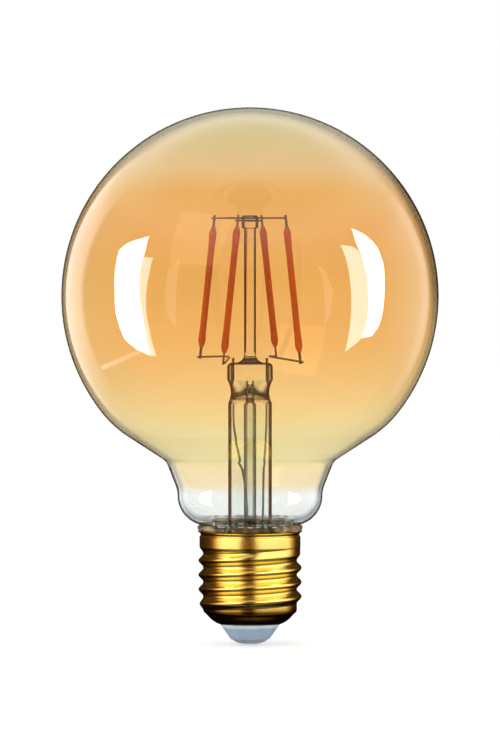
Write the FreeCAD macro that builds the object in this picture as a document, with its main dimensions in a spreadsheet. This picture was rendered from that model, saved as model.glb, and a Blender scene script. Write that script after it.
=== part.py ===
import FreeCAD, Part
import math
import os
from types import SimpleNamespace

import Sketcher

# A 95 mm globe filament bulb on an E27 screw cap, in millimetres.
# The origin is the middle of the centre contact's flat, and +Z runs up the bulb's axis.

SIZES = {
    # glass envelope, drawn on its outer face
    "globe_radius": 47.5,
    "glass_wall": 0.8,
    "blend_share": 0.579,
    "drop_share": 0.259,
    "throat_fillet": 3.5,
    "throat_reach": 5.74,
    "throat_rise": 6.38,
    "throat_stand": 2.55,
    "neck_radius": 18.27,
    "neck_stand": 9.0,
    "neck_hollow": 7.0,
    "neck_round": 7.5,
    "root_fillet": 1.2,
    "seal_radius": 11.3,
    "seal_height": 20.0,
    # stem: the flared tube, the press on its top and the exhaust tube inside it
    "tube_radius": 5.5,
    "tube_wall": 0.9,
    "tube_length": 40.5,
    "flare_round": 4.8,
    "waist_rise": 4.0,
    "waist_width": 10.0,
    "waist_depth": 5.0,
    "press_rise": 5.9,
    "press_width": 11.5,
    "press_depth": 3.6,
    "press_height": 4.3,
    "press_corner": 1.2,
    "exhaust_radius": 1.55,
    "exhaust_bore": 0.95,
    "exhaust_drop": 3.0,
    "blow_hole_rise": 5.7,
    "seal_gap": 0.02,
    # support rod on the press
    "rod_radius": 1.5,
    "rod_foot_radius": 3.4,
    "rod_foot_rise": 1.7,
    "rod_foot_round": 2.4,
    "rod_height": 33.8,
    "head_radius": 2.1,
    "head_height": 3.3,
    "head_corner": 0.5,
    # filaments: a carrier strip in a silicone coat, four of them a quarter turn apart
    "strip_width": 0.6,
    "strip_thickness": 0.3,
    "strip_rise": 0.35,
    "filament_height": 36.85,
    "foot_step_height": 0.5,
    "top_circle_radius": 9.36,
    "foot_circle_radius": 14.35,
    "top_angle": 72.0,
    "foot_angle": 62.0,
    "coat_radius": 0.95,
    "coat_waist": 0.82,
    "coat_tip": 0.5,
    "coat_taper": 1.5,
    "coat_swell": 4.0,
    "top_tab": 3.0,
    "foot_tab": 3.0,
    # wires
    "top_wire_diameter": 0.45,
    "high_wire_drop": 0.75,
    "low_wire_drop": 1.4,
    "wire_overhang": 0.6,
    "weld_gap": 0.08,
    "lead_diameter": 0.6,
    "lead_spacing": 8.5,
    "lead_rise": 1.2,
    "joint_rise": 1.65,
    "cross_wire_diameter": 0.5,
    # screw cap, a brass shell of E27 size
    "collar_radius": 12.75,
    "shell_sheet": 0.35,
    "lip_radius": 13.3,
    "lip_top": 28.2,
    "lip_round": 1.3,
    "lip_neck_radius": 12.4,
    "lip_neck_height": 27.3,
    "collar_round": 0.8,
    "collar_top": 26.6,
    "collar_foot": 24.1,
    "groove_top": 22.95,
    "root_radius": 11.85,
    "crest_radius": 13.03,
    "crest_flat": 0.7,
    "thread_pitch": 3.629,
    "ridge_base": 2.5,
    "ridge_sink": 0.2,
    "thread_turns": 3.8,
    "thread_start_height": 9.5,
    "thread_start_angle": 135.0,
    "thread_run_in": 70.0,
    "merge_start": 190.0,
    "merge_end": 90.0,
    "merge_stretch": 1.4,
    "merge_sink": 0.06,
    "shell_foot": 8.2,
    "knee_radius": 10.6,
    "knee_height": 6.8,
    "shoulder_round": 6.5,
    "shell_mouth": 7.9,
    "shell_bottom": 4.85,
    # insulator and centre contact
    "seat_gap": 0.08,
    "cone_top_radius": 7.6,
    "cone_foot_radius": 4.95,
    "contact_thickness": 1.05,
    "contact_radius": 4.6,
    "contact_flat": 2.5,
    "contact_round": 4.0,
    "shank_radius": 1.6,
    "shank_bore": 0.9,
    "shank_top": 8.0,
    "insulator_top": 8.1,
    "insulator_dish": 6.9,
    "flange_radius": 9.8,
    "flange_foot": 7.1,
    "dish_radius": 8.4,
    "dish_slope": 1.0,
    # basing cement
    "cement_foot": 24.3,
    "cement_gap": 0.1,
    "cement_bead": 1.1,
    "bead_top": 28.8,
    # driver inside the cap
    "board_radius": 9.4,
    "board_thickness": 1.0,
    "board_drop": 5.0,
    "board_hole": 0.8,
    "capacitor_radius": 3.15,
    "capacitor_room": 1.7,
    "can_edge": 0.3,
    "can_groove": 0.25,
    "can_groove_drop": 1.15,
    "rectifier_length": 4.7,
    "rectifier_width": 3.9,
    "rectifier_height": 2.4,
    "chip_length": 4.9,
    "chip_width": 3.9,
    "chip_height": 1.5,
    "resistor_radius": 1.2,
    "resistor_room": 1.9,
    "resistor_drop": 0.6,
    "thin_wire": 0.5,
    "wire_end": 0.4,
}

# How far left and right of the axis the filaments' foot wires cross the leads.
LEFT_JOINT = -4.9
RIGHT_JOINT = 4.6

# What stands on the driver board, or passes through it, by its place on the board.
LEFT_LEAD_PLACE = (-2.4, -3.4)
RIGHT_LEAD_PLACE = (2.9, 3.2)
RESISTOR_PLACE = (4.6, -4.2)
SHELL_WIRE_PLACE = (-6.6, -4.0)
CAPACITOR_PLACE = (-4.6, 1.6)
RECTIFIER_PLACE = (1.6, 5.6)
CHIP_PLACE = (-3.6, 5.0)

# The bends of the two leads inside the stem tube, the last number being the height above its foot.
LEFT_LEAD_BENDS = ((*LEFT_LEAD_PLACE, 1.0), (-0.6, -3.0, 12.0), (-1.2, -2.8, 21.0))
RIGHT_LEAD_BENDS = ((*RIGHT_LEAD_PLACE, 1.0), (3.4, 1.6, 12.0), (3.5, 1.0, 24.0))

FULL_TURN = 360.0
HALF_TURN = 180.0
QUARTER_TURN = 90.0
STEPS_PER_TURN = 24
JOIN_TOLERANCE = 0.0005
UP = FreeCAD.Vector(0, 0, 1)

# The longest piece of a wire's run that goes into one bend, and the largest share of a run.
LEAD_BEND = 3.0
TIGHT_BEND = 1.2
LOOSE_BEND = 3.5
BEND_SHARE = 0.45

# The round of the resistor's edges, as a share of its length.
RESISTOR_EDGE = 0.13


class Size:
    """A number and the sheet formula that gives it, so that what is built from it follows the sheet."""

    def __init__(self, formula, value):
        self.formula = formula
        self.value = value

    def __add__(self, other):
        other = as_size(other)
        return Size(f"({self.formula} + {other.formula})", self.value + other.value)

    def __sub__(self, other):
        other = as_size(other)
        return Size(f"({self.formula} - {other.formula})", self.value - other.value)

    def __mul__(self, other):
        other = as_size(other)
        return Size(f"({self.formula} * {other.formula})", self.value * other.value)

    def __truediv__(self, other):
        other = as_size(other)
        return Size(f"({self.formula} / {other.formula})", self.value / other.value)

    def __neg__(self):
        return Size(f"(0 - {self.formula})", -self.value)


def as_size(number):
    """A plain number as a Size, and a Size as it is."""
    if isinstance(number, Size):
        return number
    return Size(repr(float(number)), float(number))


def square_root(size):
    return Size(f"sqrt({size.formula})", math.sqrt(size.value))


def make_sheet(doc):
    """The driving dimensions, one named cell each, and the names to use them by."""
    sheet = doc.addObject("Spreadsheet::Sheet", "Sizes")
    for row, (name, value) in enumerate(SIZES.items(), 1):
        sheet.set(f"A{row}", name)
        sheet.set(f"B{row}", str(value))
        sheet.setAlias(f"B{row}", name)
    doc.recompute()
    return SimpleNamespace(**{name: Size(f"Sizes.{name}", float(sheet.get(name))) for name in SIZES})


def vector(x, y, z):
    return FreeCAD.Vector(x, y, z)


# Sketches and features


def new_body(doc, name):
    body = doc.addObject("PartDesign::Body", name)
    body.Label = name
    return body


def new_sketch(body, name, role="XZ_Plane", height=None):
    """A sketch on one of the body's own origin planes, raised by height where that is given."""
    sketch = body.newObject("Sketcher::SketchObject", name)
    plane = next(f for f in body.Origin.OriginFeatures if f.Role == role)
    sketch.AttachmentSupport = (plane, [""])
    sketch.MapMode = "FlatFace"
    if height is not None:
        sketch.setExpression("AttachmentOffset.Base.z", height.formula)
    return sketch


def dimension(sketch, kind, *items):
    """A dimensional constraint; its last item is a Size, and the sketch follows its formula."""
    size = as_size(items[-1])
    index = sketch.addConstraint(Sketcher.Constraint(kind, *items[:-1], size.value))
    sketch.setExpression(f"Constraints[{index}]", size.formula)


def hold(sketch, point, x, y):
    """Fixes a point, given as its geometry and position, at x and y; a zero is held on the axis itself."""
    for size, kind, axis in ((x, "DistanceX", -2), (y, "DistanceY", -1)):
        if isinstance(size, (int, float)) and size == 0:
            sketch.addConstraint(Sketcher.Constraint("PointOnObject", *point, axis))
        else:
            dimension(sketch, kind, -1, 1, *point, size)


def arc(centre, radius, first, last):
    """An arc that runs counter-clockwise from one angle to another, in degrees."""
    circle = Part.Circle(centre, UP, radius)
    turn = (last - first) % FULL_TURN
    return Part.ArcOfCircle(circle, math.radians(first), math.radians(first + turn))


def arc_between(start, end, radius):
    """The short arc between two points, with its centre left of the way there if radius is positive."""
    way = end - start
    left = vector(-way.y, way.x, 0).normalize()
    rise = math.sqrt(max(radius**2 - (way.Length / 2) ** 2, 0))
    centre = (start + end) * 0.5 + left * math.copysign(rise, radius)
    first, last = (start, end) if radius > 0 else (end, start)
    angles = [math.degrees(math.atan2(p.y - centre.y, p.x - centre.x)) for p in (first, last)]
    return arc(centre, abs(radius), *angles)


def outline(sketch, corners):
    """A closed outline through corners (x, y), each held in place.

    A third item makes the way to the next corner an arc of that radius. Its centre lies left of the
    way when the radius is positive, and right of it when it is negative.
    """
    starts = []
    ends = []
    places = [vector(as_size(c[0]).value, as_size(c[1]).value, 0) for c in corners]
    for i, corner in enumerate(corners):
        here = places[i]
        there = places[(i + 1) % len(corners)]
        first, last = 1, 2
        if len(corner) == 3:
            geometry = arc_between(here, there, corner[2].value)
            if corner[2].value < 0:
                first, last = 2, 1
        else:
            geometry = Part.LineSegment(here, there)
        index = sketch.addGeometry(geometry, False)
        starts.append((index, first))
        ends.append((index, last))
    for i, corner in enumerate(corners):
        sketch.addConstraint(Sketcher.Constraint("Coincident", *ends[i - 1], *starts[i]))
        hold(sketch, starts[i], corner[0], corner[1])
        if len(corner) == 3:
            radius = corner[2] if corner[2].value > 0 else -corner[2]
            dimension(sketch, "Radius", starts[i][0], radius)


def feature(body, kind, name, sketch):
    """A feature of the body made from one sketch."""
    made = body.newObject(f"PartDesign::{kind}", name)
    made.Profile = sketch
    return made


def turned(body, name, corners, kind="Revolution"):
    """A solid of revolution about the bulb's axis, or with kind Groove a cut of that form."""
    sketch = new_sketch(body, f"{name}_outline")
    outline(sketch, corners)
    made = feature(body, kind, name, sketch)
    made.ReferenceAxis = (sketch, ["V_Axis"])
    made.Angle = FULL_TURN
    return made


def circle_in(sketch, x, y, radius):
    """A circle held at x and y."""
    centre = vector(as_size(x).value, as_size(y).value, 0)
    index = sketch.addGeometry(Part.Circle(centre, UP, as_size(radius).value), False)
    hold(sketch, (index, 3), x, y)
    dimension(sketch, "Radius", index, radius)


def round_holes(body, name, height, places, radius, depth):
    """Round holes cut down from a height, one for each place."""
    sketch = new_sketch(body, f"{name}_outline", "XY_Plane", height)
    for x, y in places:
        circle_in(sketch, x, y, radius)
    pocket = feature(body, "Pocket", name, sketch)
    pocket.setExpression("Length", depth.formula)
    return pocket


def box_body(doc, name, length, width, height, place):
    """A rectangular block standing on its middle at a place."""
    body = new_body(doc, name)
    sketch = new_sketch(body, f"{name}_outline", "XY_Plane")
    half_length, half_width = length / 2, width / 2
    outline(sketch, [
        (-half_length, -half_width), (half_length, -half_width),
        (half_length, half_width), (-half_length, half_width),
    ])
    pad = feature(body, "Pad", f"{name}_block", sketch)
    pad.setExpression("Length", height.formula)
    move_to(body, *place)
    return body


def move_to(thing, x, y, z):
    """Places a sub-part at x, y and z, each of which may come from the sheet."""
    thing.Placement = FreeCAD.Placement(vector(*(as_size(v).value for v in (x, y, z))), FreeCAD.Rotation())
    for axis, size in zip("xyz", (x, y, z)):
        thing.setExpression(f"Placement.Base.{axis}", as_size(size).formula)


def shaped(doc, name, shape):
    """A sub-part whose shape comes from code."""
    thing = doc.addObject("Part::Feature", name)
    thing.Label = name
    thing.Shape = shape
    thing.Placement = FreeCAD.Placement()
    return thing


# Glass


def neck_height(s):
    """The height of the neck's widest place."""
    return s.lip_top + s.neck_stand


def throat_centre(s):
    """Where the fillet between globe and neck has its centre: radius from the axis, and height."""
    return s.neck_radius + s.throat_reach, neck_height(s) + s.throat_rise


def globe_centre(s):
    """The height of the globe's centre, at which the globe stands the right way off the throat."""
    reach, rise = throat_centre(s)
    away = s.globe_radius + s.throat_stand
    return rise + square_root(away * away - reach * reach)


def glass_contour(sketch, s, inset):
    """The half outline of globe, throat and neck, drawn inside the outer face by inset."""
    reach, rise = throat_centre(s)
    middle = globe_centre(s)
    neck = neck_height(s)
    blend_full = s.globe_radius * s.blend_share
    blend_drop = s.globe_radius * s.drop_share
    globe_r = s.globe_radius - inset
    blend_r = blend_full - inset
    throat_r = s.throat_fillet + inset
    hollow_r = s.neck_hollow + inset
    round_r = s.neck_round - inset
    root_r = s.root_fillet + inset
    side = s.seal_radius - inset

    # a first guess for each piece, close enough for the constraints to take over
    blend_away = s.globe_radius.value - blend_full.value
    blend_down = math.degrees(math.asin(blend_drop.value / blend_away))
    blend_at = vector(math.sqrt(blend_away**2 - blend_drop.value**2), middle.value - blend_drop.value, 0)
    throat_at = vector(reach.value, rise.value, 0)
    hollow_at = vector(s.neck_radius.value + s.neck_hollow.value, neck.value, 0)
    round_at = vector(s.neck_radius.value - s.neck_round.value, neck.value, 0)
    root_x = s.seal_radius.value + s.root_fillet.value
    root_away = s.neck_round.value + s.root_fillet.value
    root_drop = math.sqrt(root_away**2 - (root_x - round_at.x) ** 2)
    root_at = vector(root_x, round_at.y - root_drop, 0)
    root_turn = math.degrees(math.atan2(root_drop, root_x - round_at.x))
    slope = tangent_slope(blend_at, blend_full.value, throat_at, s.throat_fillet.value)
    taper = facing_slope(throat_at, s.throat_fillet.value, hollow_at, s.neck_hollow.value)

    globe = sketch.addGeometry(arc(vector(0, middle.value, 0), globe_r.value, -blend_down, 90), False)
    blend = sketch.addGeometry(arc(blend_at, blend_r.value, -slope, -blend_down), False)
    throat_arc = arc(throat_at, throat_r.value, HALF_TURN - slope, HALF_TURN - taper)
    hollow_arc = arc(hollow_at, hollow_r.value, HALF_TURN - taper, HALF_TURN)
    blend_end = on_circle(blend_at, blend_r.value, -slope)
    throat_start = on_circle(throat_at, throat_r.value, HALF_TURN - slope)
    shoulder = sketch.addGeometry(Part.LineSegment(blend_end, throat_start), False)
    throat = sketch.addGeometry(throat_arc, False)
    throat_end = on_circle(throat_at, throat_r.value, HALF_TURN - taper)
    hollow_start = on_circle(hollow_at, hollow_r.value, HALF_TURN - taper)
    taper_line = sketch.addGeometry(Part.LineSegment(throat_end, hollow_start), False)
    hollow = sketch.addGeometry(hollow_arc, False)
    bulge = sketch.addGeometry(arc(round_at, round_r.value, -root_turn, 0), False)
    root = sketch.addGeometry(arc(root_at, root_r.value, HALF_TURN - root_turn, HALF_TURN), False)
    wall_top = vector(side.value, root_at.y, 0)
    wall_foot = vector(side.value, s.seal_height.value, 0)
    wall = sketch.addGeometry(Part.LineSegment(wall_top, wall_foot), False)
    foot_middle = vector(0, s.seal_height.value, 0)
    foot = sketch.addGeometry(Part.LineSegment(wall_foot, foot_middle), False)
    top = vector(0, middle.value + globe_r.value, 0)
    axis = sketch.addGeometry(Part.LineSegment(foot_middle, top), False)

    hold(sketch, (globe, 3), 0, middle)
    sketch.addConstraint(Sketcher.Constraint("PointOnObject", globe, 2, -2))
    joins = [
        (globe, 1, blend, 2), (blend, 1, shoulder, 1), (shoulder, 2, throat, 1), (throat, 2, taper_line, 1),
        (taper_line, 2, hollow, 1), (hollow, 2, bulge, 2), (bulge, 1, root, 1), (root, 2, wall, 1),
    ]
    for join in joins:
        sketch.addConstraint(Sketcher.Constraint("Tangent", *join))
    for piece, radius in (
        (globe, globe_r), (blend, blend_r), (throat, throat_r),
        (hollow, hollow_r), (bulge, round_r), (root, root_r),
    ):
        dimension(sketch, "Radius", piece, radius)
    dimension(sketch, "DistanceY", -1, 1, blend, 3, middle - blend_drop)
    hold(sketch, (throat, 3), reach, rise)
    hold(sketch, (hollow, 3), s.neck_radius + s.neck_hollow, neck)
    dimension(sketch, "DistanceY", -1, 1, bulge, 3, neck)
    sketch.addConstraint(Sketcher.Constraint("Vertical", wall))
    dimension(sketch, "DistanceX", -1, 1, wall, 2, side)
    dimension(sketch, "DistanceY", -1, 1, wall, 2, s.seal_height)
    sketch.addConstraint(Sketcher.Constraint("Coincident", wall, 2, foot, 1))
    sketch.addConstraint(Sketcher.Constraint("Horizontal", foot))
    sketch.addConstraint(Sketcher.Constraint("PointOnObject", foot, 2, -2))
    sketch.addConstraint(Sketcher.Constraint("Coincident", foot, 2, axis, 1))
    sketch.addConstraint(Sketcher.Constraint("Coincident", axis, 2, globe, 2))


def on_circle(centre, radius, angle):
    return centre + vector(math.cos(math.radians(angle)), math.sin(math.radians(angle)), 0) * radius


def tangent_slope(high, high_r, low, low_r):
    """How far from upright, in degrees, the line leans that leaves one circle and turns round the other.

    The circles lie on opposite sides of the line.
    """
    way = low - high
    across = math.degrees(math.asin((high_r + low_r) / way.Length))
    return across - math.degrees(math.atan2(way.x, -way.y))


def facing_slope(high, high_r, low, low_r):
    """The same for two circles on one side of the line."""
    way = low - high
    across = math.degrees(math.asin((low_r - high_r) / way.Length))
    return across - math.degrees(math.atan2(way.x, -way.y))


def glass_globe(doc, s):
    """The blown envelope: one wall of glass, open at the foot of its neck."""
    body = new_body(doc, "glass_globe")
    outer = new_sketch(body, "outer_face")
    glass_contour(outer, s, as_size(0))
    blown = feature(body, "Revolution", "blown_form", outer)
    blown.ReferenceAxis = (outer, ["V_Axis"])
    blown.Angle = FULL_TURN
    inner = new_sketch(body, "inner_face")
    glass_contour(inner, s, s.glass_wall)
    hollow = feature(body, "Groove", "hollow", inner)
    hollow.ReferenceAxis = (inner, ["V_Axis"])
    hollow.Angle = FULL_TURN
    return body


def rounded_slot(sketch, width, depth):
    """A slot along X: two straight sides and two round ends."""
    half = (width - depth) / 2
    end = depth / 2
    x, r = half.value, end.value
    right = sketch.addGeometry(arc(vector(x, 0, 0), r, -90, 90), False)
    back = sketch.addGeometry(Part.LineSegment(vector(x, r, 0), vector(-x, r, 0)), False)
    left = sketch.addGeometry(arc(vector(-x, 0, 0), r, 90, 270), False)
    front = sketch.addGeometry(Part.LineSegment(vector(-x, -r, 0), vector(x, -r, 0)), False)
    for join in ((right, 2, back, 1), (back, 2, left, 1), (left, 2, front, 1), (front, 2, right, 1)):
        sketch.addConstraint(Sketcher.Constraint("Tangent", *join))
    hold(sketch, (right, 3), half, 0)
    dimension(sketch, "DistanceX", -1, 1, left, 3, -half)
    dimension(sketch, "Radius", right, end)


def tube_top(s):
    """Where the stem's round tube ends and starts to flatten."""
    return s.seal_height + s.tube_length


def press_top(s):
    """The top of the stem, on which the rod stands and from which the filaments' heights run."""
    return tube_top(s) + s.press_rise + s.press_height


def stem_tube(doc, s):
    """The flared glass tube with its top pressed flat round the leads."""
    body = new_body(doc, "stem_form")
    bore = s.tube_radius - s.tube_wall
    top = tube_top(s)
    rim = s.tube_radius + s.flare_round
    turn = s.seal_height + s.flare_round
    turned(body, "tube", [
        (0, s.seal_height - s.tube_wall), (s.seal_radius, s.seal_height - s.tube_wall),
        (s.seal_radius, s.seal_height), (rim, s.seal_height, -s.flare_round),
        (s.tube_radius, turn), (s.tube_radius, top), (0, top),
    ])
    # the round section has four arcs, to match the four sides of the slots above it
    round_section = new_sketch(body, "round_section", "XY_Plane", top)
    corner = s.tube_radius * square_root(as_size(0.5))
    outline(round_section, [
        (corner, -corner, s.tube_radius), (corner, corner, s.tube_radius),
        (-corner, corner, s.tube_radius), (-corner, -corner, s.tube_radius),
    ])
    sections = [round_section]
    for name, height, width, depth in (
        ("waist_section", top + s.waist_rise, s.waist_width, s.waist_depth),
        ("press_section", top + s.press_rise, s.press_width, s.press_depth),
    ):
        sketch = new_sketch(body, name, "XY_Plane", height)
        rounded_slot(sketch, width, depth)
        sections.append(sketch)
    doc.recompute()
    loft = body.newObject("PartDesign::AdditiveLoft", "shoulder")
    loft.Profile = sections[0]
    loft.Sections = sections[1:]
    press_sketch = new_sketch(body, "press_outline", "XY_Plane", top + s.press_rise)
    rounded_slot(press_sketch, s.press_width, s.press_depth)
    press = feature(body, "Pad", "press", press_sketch)
    press.setExpression("Length", s.press_height.formula)
    doc.recompute()
    edge = body.newObject("PartDesign::Fillet", "press_edge")
    edge.Base = (press, top_edges(press.Shape, press_top(s).value))
    edge.setExpression("Radius", s.press_corner.formula)
    doc.recompute()
    ceiling = top + s.tube_wall
    turned(body, "tube_bore", [
        (0, s.seal_height - s.tube_wall), (rim, s.seal_height - s.tube_wall, -(s.flare_round + s.tube_wall)),
        (bore, turn), (bore, top), (0, ceiling),
    ], "Groove")
    side = s.lead_spacing.value / 2
    low = top.value - s.tube_wall.value
    lead_hole = s.lead_diameter / 2 + s.seal_gap
    through = s.press_rise + s.press_height + s.tube_wall * 2
    channel = s.blow_hole_rise + s.tube_wall
    holes = [
        ("left_lead_hole", lead_hole, through, upright(-side, 0, low)),
        ("right_lead_hole", lead_hole, through, upright(side, 0, low)),
        ("exhaust_channel", s.exhaust_bore, channel, upright(0, 0, low)),
        ("blow_hole", s.exhaust_bore, s.press_width, lying(0, top.value + s.blow_hole_rise.value)),
    ]
    return drilled(doc, body, "stem_tube", holes)


def upright(x, y, z):
    return FreeCAD.Placement(vector(x, y, z), FreeCAD.Rotation())


def lying(x, z):
    """From the bulb's axis towards the front."""
    return FreeCAD.Placement(vector(x, 0, z), FreeCAD.Rotation(UP, vector(0, -1, 0)))


def drilled(doc, form, name, holes):
    """The form with round holes cut through it, each given as a name, radius, length and placement."""
    part = form
    for hole, radius, length, placement in holes:
        tool = doc.addObject("Part::Cylinder", hole)
        tool.setExpression("Radius", radius.formula)
        tool.setExpression("Height", length.formula)
        tool.Placement = placement
        cut = doc.addObject("Part::Cut", f"{name}_with_{hole}")
        cut.Base = part
        cut.Tool = tool
        part = cut
    part.Label = name
    return part


def top_edges(shape, height):
    """The names of the edges that lie flat at a height."""
    names = []
    for i, edge in enumerate(shape.Edges, 1):
        box = edge.BoundBox
        if abs(box.ZMin - height) < 1e-6 and abs(box.ZMax - height) < 1e-6:
            names.append(f"Edge{i}")
    return names


def exhaust_tube(doc, s):
    """The narrow tube the air was drawn out through, melted shut at its lower tip."""
    body = new_body(doc, "exhaust_tube")
    across = s.exhaust_radius / (s.tube_radius - s.tube_wall)
    top = tube_top(s) + s.tube_wall * (as_size(1) - across) - s.seal_gap
    tip = s.seal_height - s.exhaust_drop
    shut = tip + s.exhaust_radius
    turned(body, "drawn_tube", [
        (0, tip, s.exhaust_radius), (s.exhaust_radius, shut), (s.exhaust_radius, top), (0, top),
    ])
    turned(body, "bore", [
        (0, shut), (s.exhaust_bore, shut + s.exhaust_bore), (s.exhaust_bore, top), (0, top),
    ], "Groove")
    return body


def support_rod(doc, s):
    """The glass rod on the press, with the head that holds the top wires."""
    form = new_body(doc, "support_rod_form")
    foot = press_top(s) + s.seal_gap
    head_foot = press_top(s) + s.rod_height
    head_top = head_foot + s.head_height
    turned(form, "rod", [
        (0, foot), (s.rod_foot_radius, foot, -s.rod_foot_round),
        (s.rod_radius, foot + s.rod_foot_rise), (s.rod_radius, head_foot),
        (s.head_radius - s.head_corner, head_foot, s.head_corner),
        (s.head_radius, head_foot + s.head_corner), (s.head_radius, head_top - s.head_corner, s.head_corner),
        (s.head_radius - s.head_corner, head_top), (0, head_top),
    ])
    hole = s.top_wire_diameter / 2 + s.seal_gap
    length = (s.top_circle_radius + s.wire_overhang) * 2
    return drilled(doc, form, "support_rod", [
        ("high_wire_hole", hole, length, top_wire_placement(s, s.high_wire_drop, 1)),
        ("low_wire_hole", hole, length, top_wire_placement(s, s.low_wire_drop, 0)),
    ])


def weld_offset(s):
    """How far beside a strip's middle a top wire passes."""
    return s.strip_thickness / 2 + s.top_wire_diameter / 2 + s.weld_gap


def top_wire_placement(s, drop, number):
    """Lays an upright cylinder past two opposite strips, each of which it touches on its flat side."""
    height = filament_ends(s, number)[1].z - drop.value
    here = strip_point(s, number, height)
    there = strip_point(s, number + 2, height)
    along = (there - here).normalize()
    start = here - along * s.wire_overhang.value + along.cross(UP) * weld_offset(s).value
    return FreeCAD.Placement(start, FreeCAD.Rotation(UP, along))


# Filaments


def polar(radius, angle, height):
    return vector(radius * math.cos(math.radians(angle)), radius * math.sin(math.radians(angle)), height)


def filament_ends(s, number):
    """The foot and the top of a filament; the front pair's feet are lower than the back pair's."""
    turn = QUARTER_TURN * number
    # numbers 2 and 3 come to the front
    step = -s.foot_step_height.value if number in (2, 3) else s.foot_step_height.value
    low = press_top(s).value + s.strip_rise.value
    foot = polar(s.foot_circle_radius.value, s.foot_angle.value + turn, low + step)
    top = polar(s.top_circle_radius.value, s.top_angle.value + turn, low + s.filament_height.value)
    return foot, top


def filament_placement(s, number):
    """Stands a piece that was made upright on the origin along its filament, flat side to the wires."""
    foot, top = filament_ends(s, number)
    along = (top - foot).normalize()
    outward = polar(1.0, (s.foot_angle.value + s.top_angle.value) / 2 + QUARTER_TURN * number, 0)
    across = along.cross(outward).normalize()
    width = across.cross(along).normalize()
    return FreeCAD.Placement(foot, FreeCAD.Rotation(width, across, along, "ZXY"))


def strip_point(s, number, height):
    """The middle of a filament's strip at a height."""
    foot, top = filament_ends(s, number)
    return foot + (top - foot) * ((height - foot.z) / (top.z - foot.z))


def filament_length(s, number):
    foot, top = filament_ends(s, number)
    return (top - foot).Length


def filament_strip(doc, s, number):
    """The metal carrier, whose bare ends are the tabs that are welded to the wires."""
    name = f"filament_{number + 1}_strip"
    strip = doc.addObject("Part::Box", name)
    strip.Label = name
    strip.setExpression("Length", s.strip_width.formula)
    strip.setExpression("Width", s.strip_thickness.formula)
    strip.Height = filament_length(s, number)
    place = filament_placement(s, number)
    corner = place.Rotation.multVec(vector(-s.strip_width.value / 2, -s.strip_thickness.value / 2, 0))
    strip.Placement = FreeCAD.Placement(place.Base + corner, place.Rotation)
    return strip


def filament_coat(doc, s, number):
    """The phosphor-filled silicone round the strip: slim in the middle, fuller near its tapered ends."""
    body = new_body(doc, f"filament_{number + 1}_coat")
    low = s.foot_tab
    high = as_size(filament_length(s, number)) - s.top_tab
    turned(body, "moulded_coat", [
        (0, low), (s.coat_tip, low), (s.coat_radius, low + s.coat_taper),
        (s.coat_waist, low + s.coat_taper + s.coat_swell), (s.coat_waist, high - s.coat_taper - s.coat_swell),
        (s.coat_radius, high - s.coat_taper), (s.coat_tip, high), (0, high),
    ])
    slot = new_sketch(body, "strip_slot_outline", "XY_Plane", high)
    half_width = s.strip_width / 2 + s.seal_gap
    half_depth = s.strip_thickness / 2 + s.seal_gap
    outline(slot, [
        (-half_width, -half_depth), (half_width, -half_depth),
        (half_width, half_depth), (-half_width, half_depth),
    ])
    cut = feature(body, "Pocket", "strip_slot", slot)
    cut.setExpression("Length", (high - low).formula)
    body.Placement = filament_placement(s, number)
    return body


# Wires


def wire(points, diameter, longest):
    """A round wire along straight runs, each bend an arc that starts at most longest before its corner."""
    edges = []
    here = points[0]
    for before, corner, after in zip(points, points[1:], points[2:]):
        arriving = (corner - before).normalize()
        leaving = (after - corner).normalize()
        turn = arriving.getAngle(leaving)
        shorter = min((corner - before).Length, (after - corner).Length)
        trim = min(BEND_SHARE * shorter, longest)
        radius = trim / math.tan(turn / 2)
        start = corner - arriving * trim
        end = corner + leaving * trim
        inward = (leaving - arriving).normalize()
        middle = corner + inward * (radius / math.cos(turn / 2) - radius)
        edges.append(Part.LineSegment(here, start).toShape())
        edges.append(Part.Arc(start, middle, end).toShape())
        here = end
    edges.append(Part.LineSegment(here, points[-1]).toShape())
    path = Part.Wire(edges)
    section = Part.Wire(Part.Circle(points[0], points[1] - points[0], diameter / 2).toShape())
    return path.makePipeShell([section], True, False)


def top_wire(doc, s, name, drop, number):
    """A straight wire through the rod's head that joins the tops of two opposite filaments."""
    rod = doc.addObject("Part::Cylinder", name)
    rod.Label = name
    rod.setExpression("Radius", (s.top_wire_diameter / 2).formula)
    rod.setExpression("Height", ((s.top_circle_radius + s.wire_overhang) * 2).formula)
    rod.Placement = top_wire_placement(s, drop, number)
    return rod


def foot_of_wire(s, number, joint):
    """Where a foot wire ends: beside the filament's tab, a little past it."""
    foot, top = filament_ends(s, number)
    way = (top - foot).normalize()
    place = filament_placement(s, number)
    across = place.Rotation.multVec(vector(0, 1, 0))
    # the wire comes at a slant, so it stands off twice as far
    clear = s.strip_thickness.value / 2 + s.cross_wire_diameter.value / 2 + s.weld_gap.value * 2
    beside = foot + way * s.cross_wire_diameter.value + across * clear
    outward = vector(beside.x - joint.x, beside.y - joint.y, 0).normalize()
    return beside + outward * s.wire_overhang.value


def cross_wire(doc, s, name, joint, numbers):
    """The bent wire that joins the feet of two filaments over the top of a lead."""
    middle = vector(joint, 0, press_top(s).value + s.joint_rise.value)
    ends = [foot_of_wire(s, n, middle) for n in numbers]
    shape = wire([ends[0], middle, ends[1]], s.cross_wire_diameter.value, LOOSE_BEND)
    return shaped(doc, name, shape)


def lead_wire(doc, s, name, foot, bends, side):
    """A lead from the board up the stem tube and through the press."""
    low = board_height(s).value - s.wire_end.value
    straight = tube_top(s).value - LEAD_BEND * 2
    points = [vector(*foot, low)]
    points += [vector(x, y, s.seal_height.value + rise) for x, y, rise in bends]
    points += [vector(side, 0, straight), vector(side, 0, press_top(s).value + s.lead_rise.value)]
    shape = wire(points, s.lead_diameter.value, LEAD_BEND)
    return shaped(doc, name, shape)


# Screw cap


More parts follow.
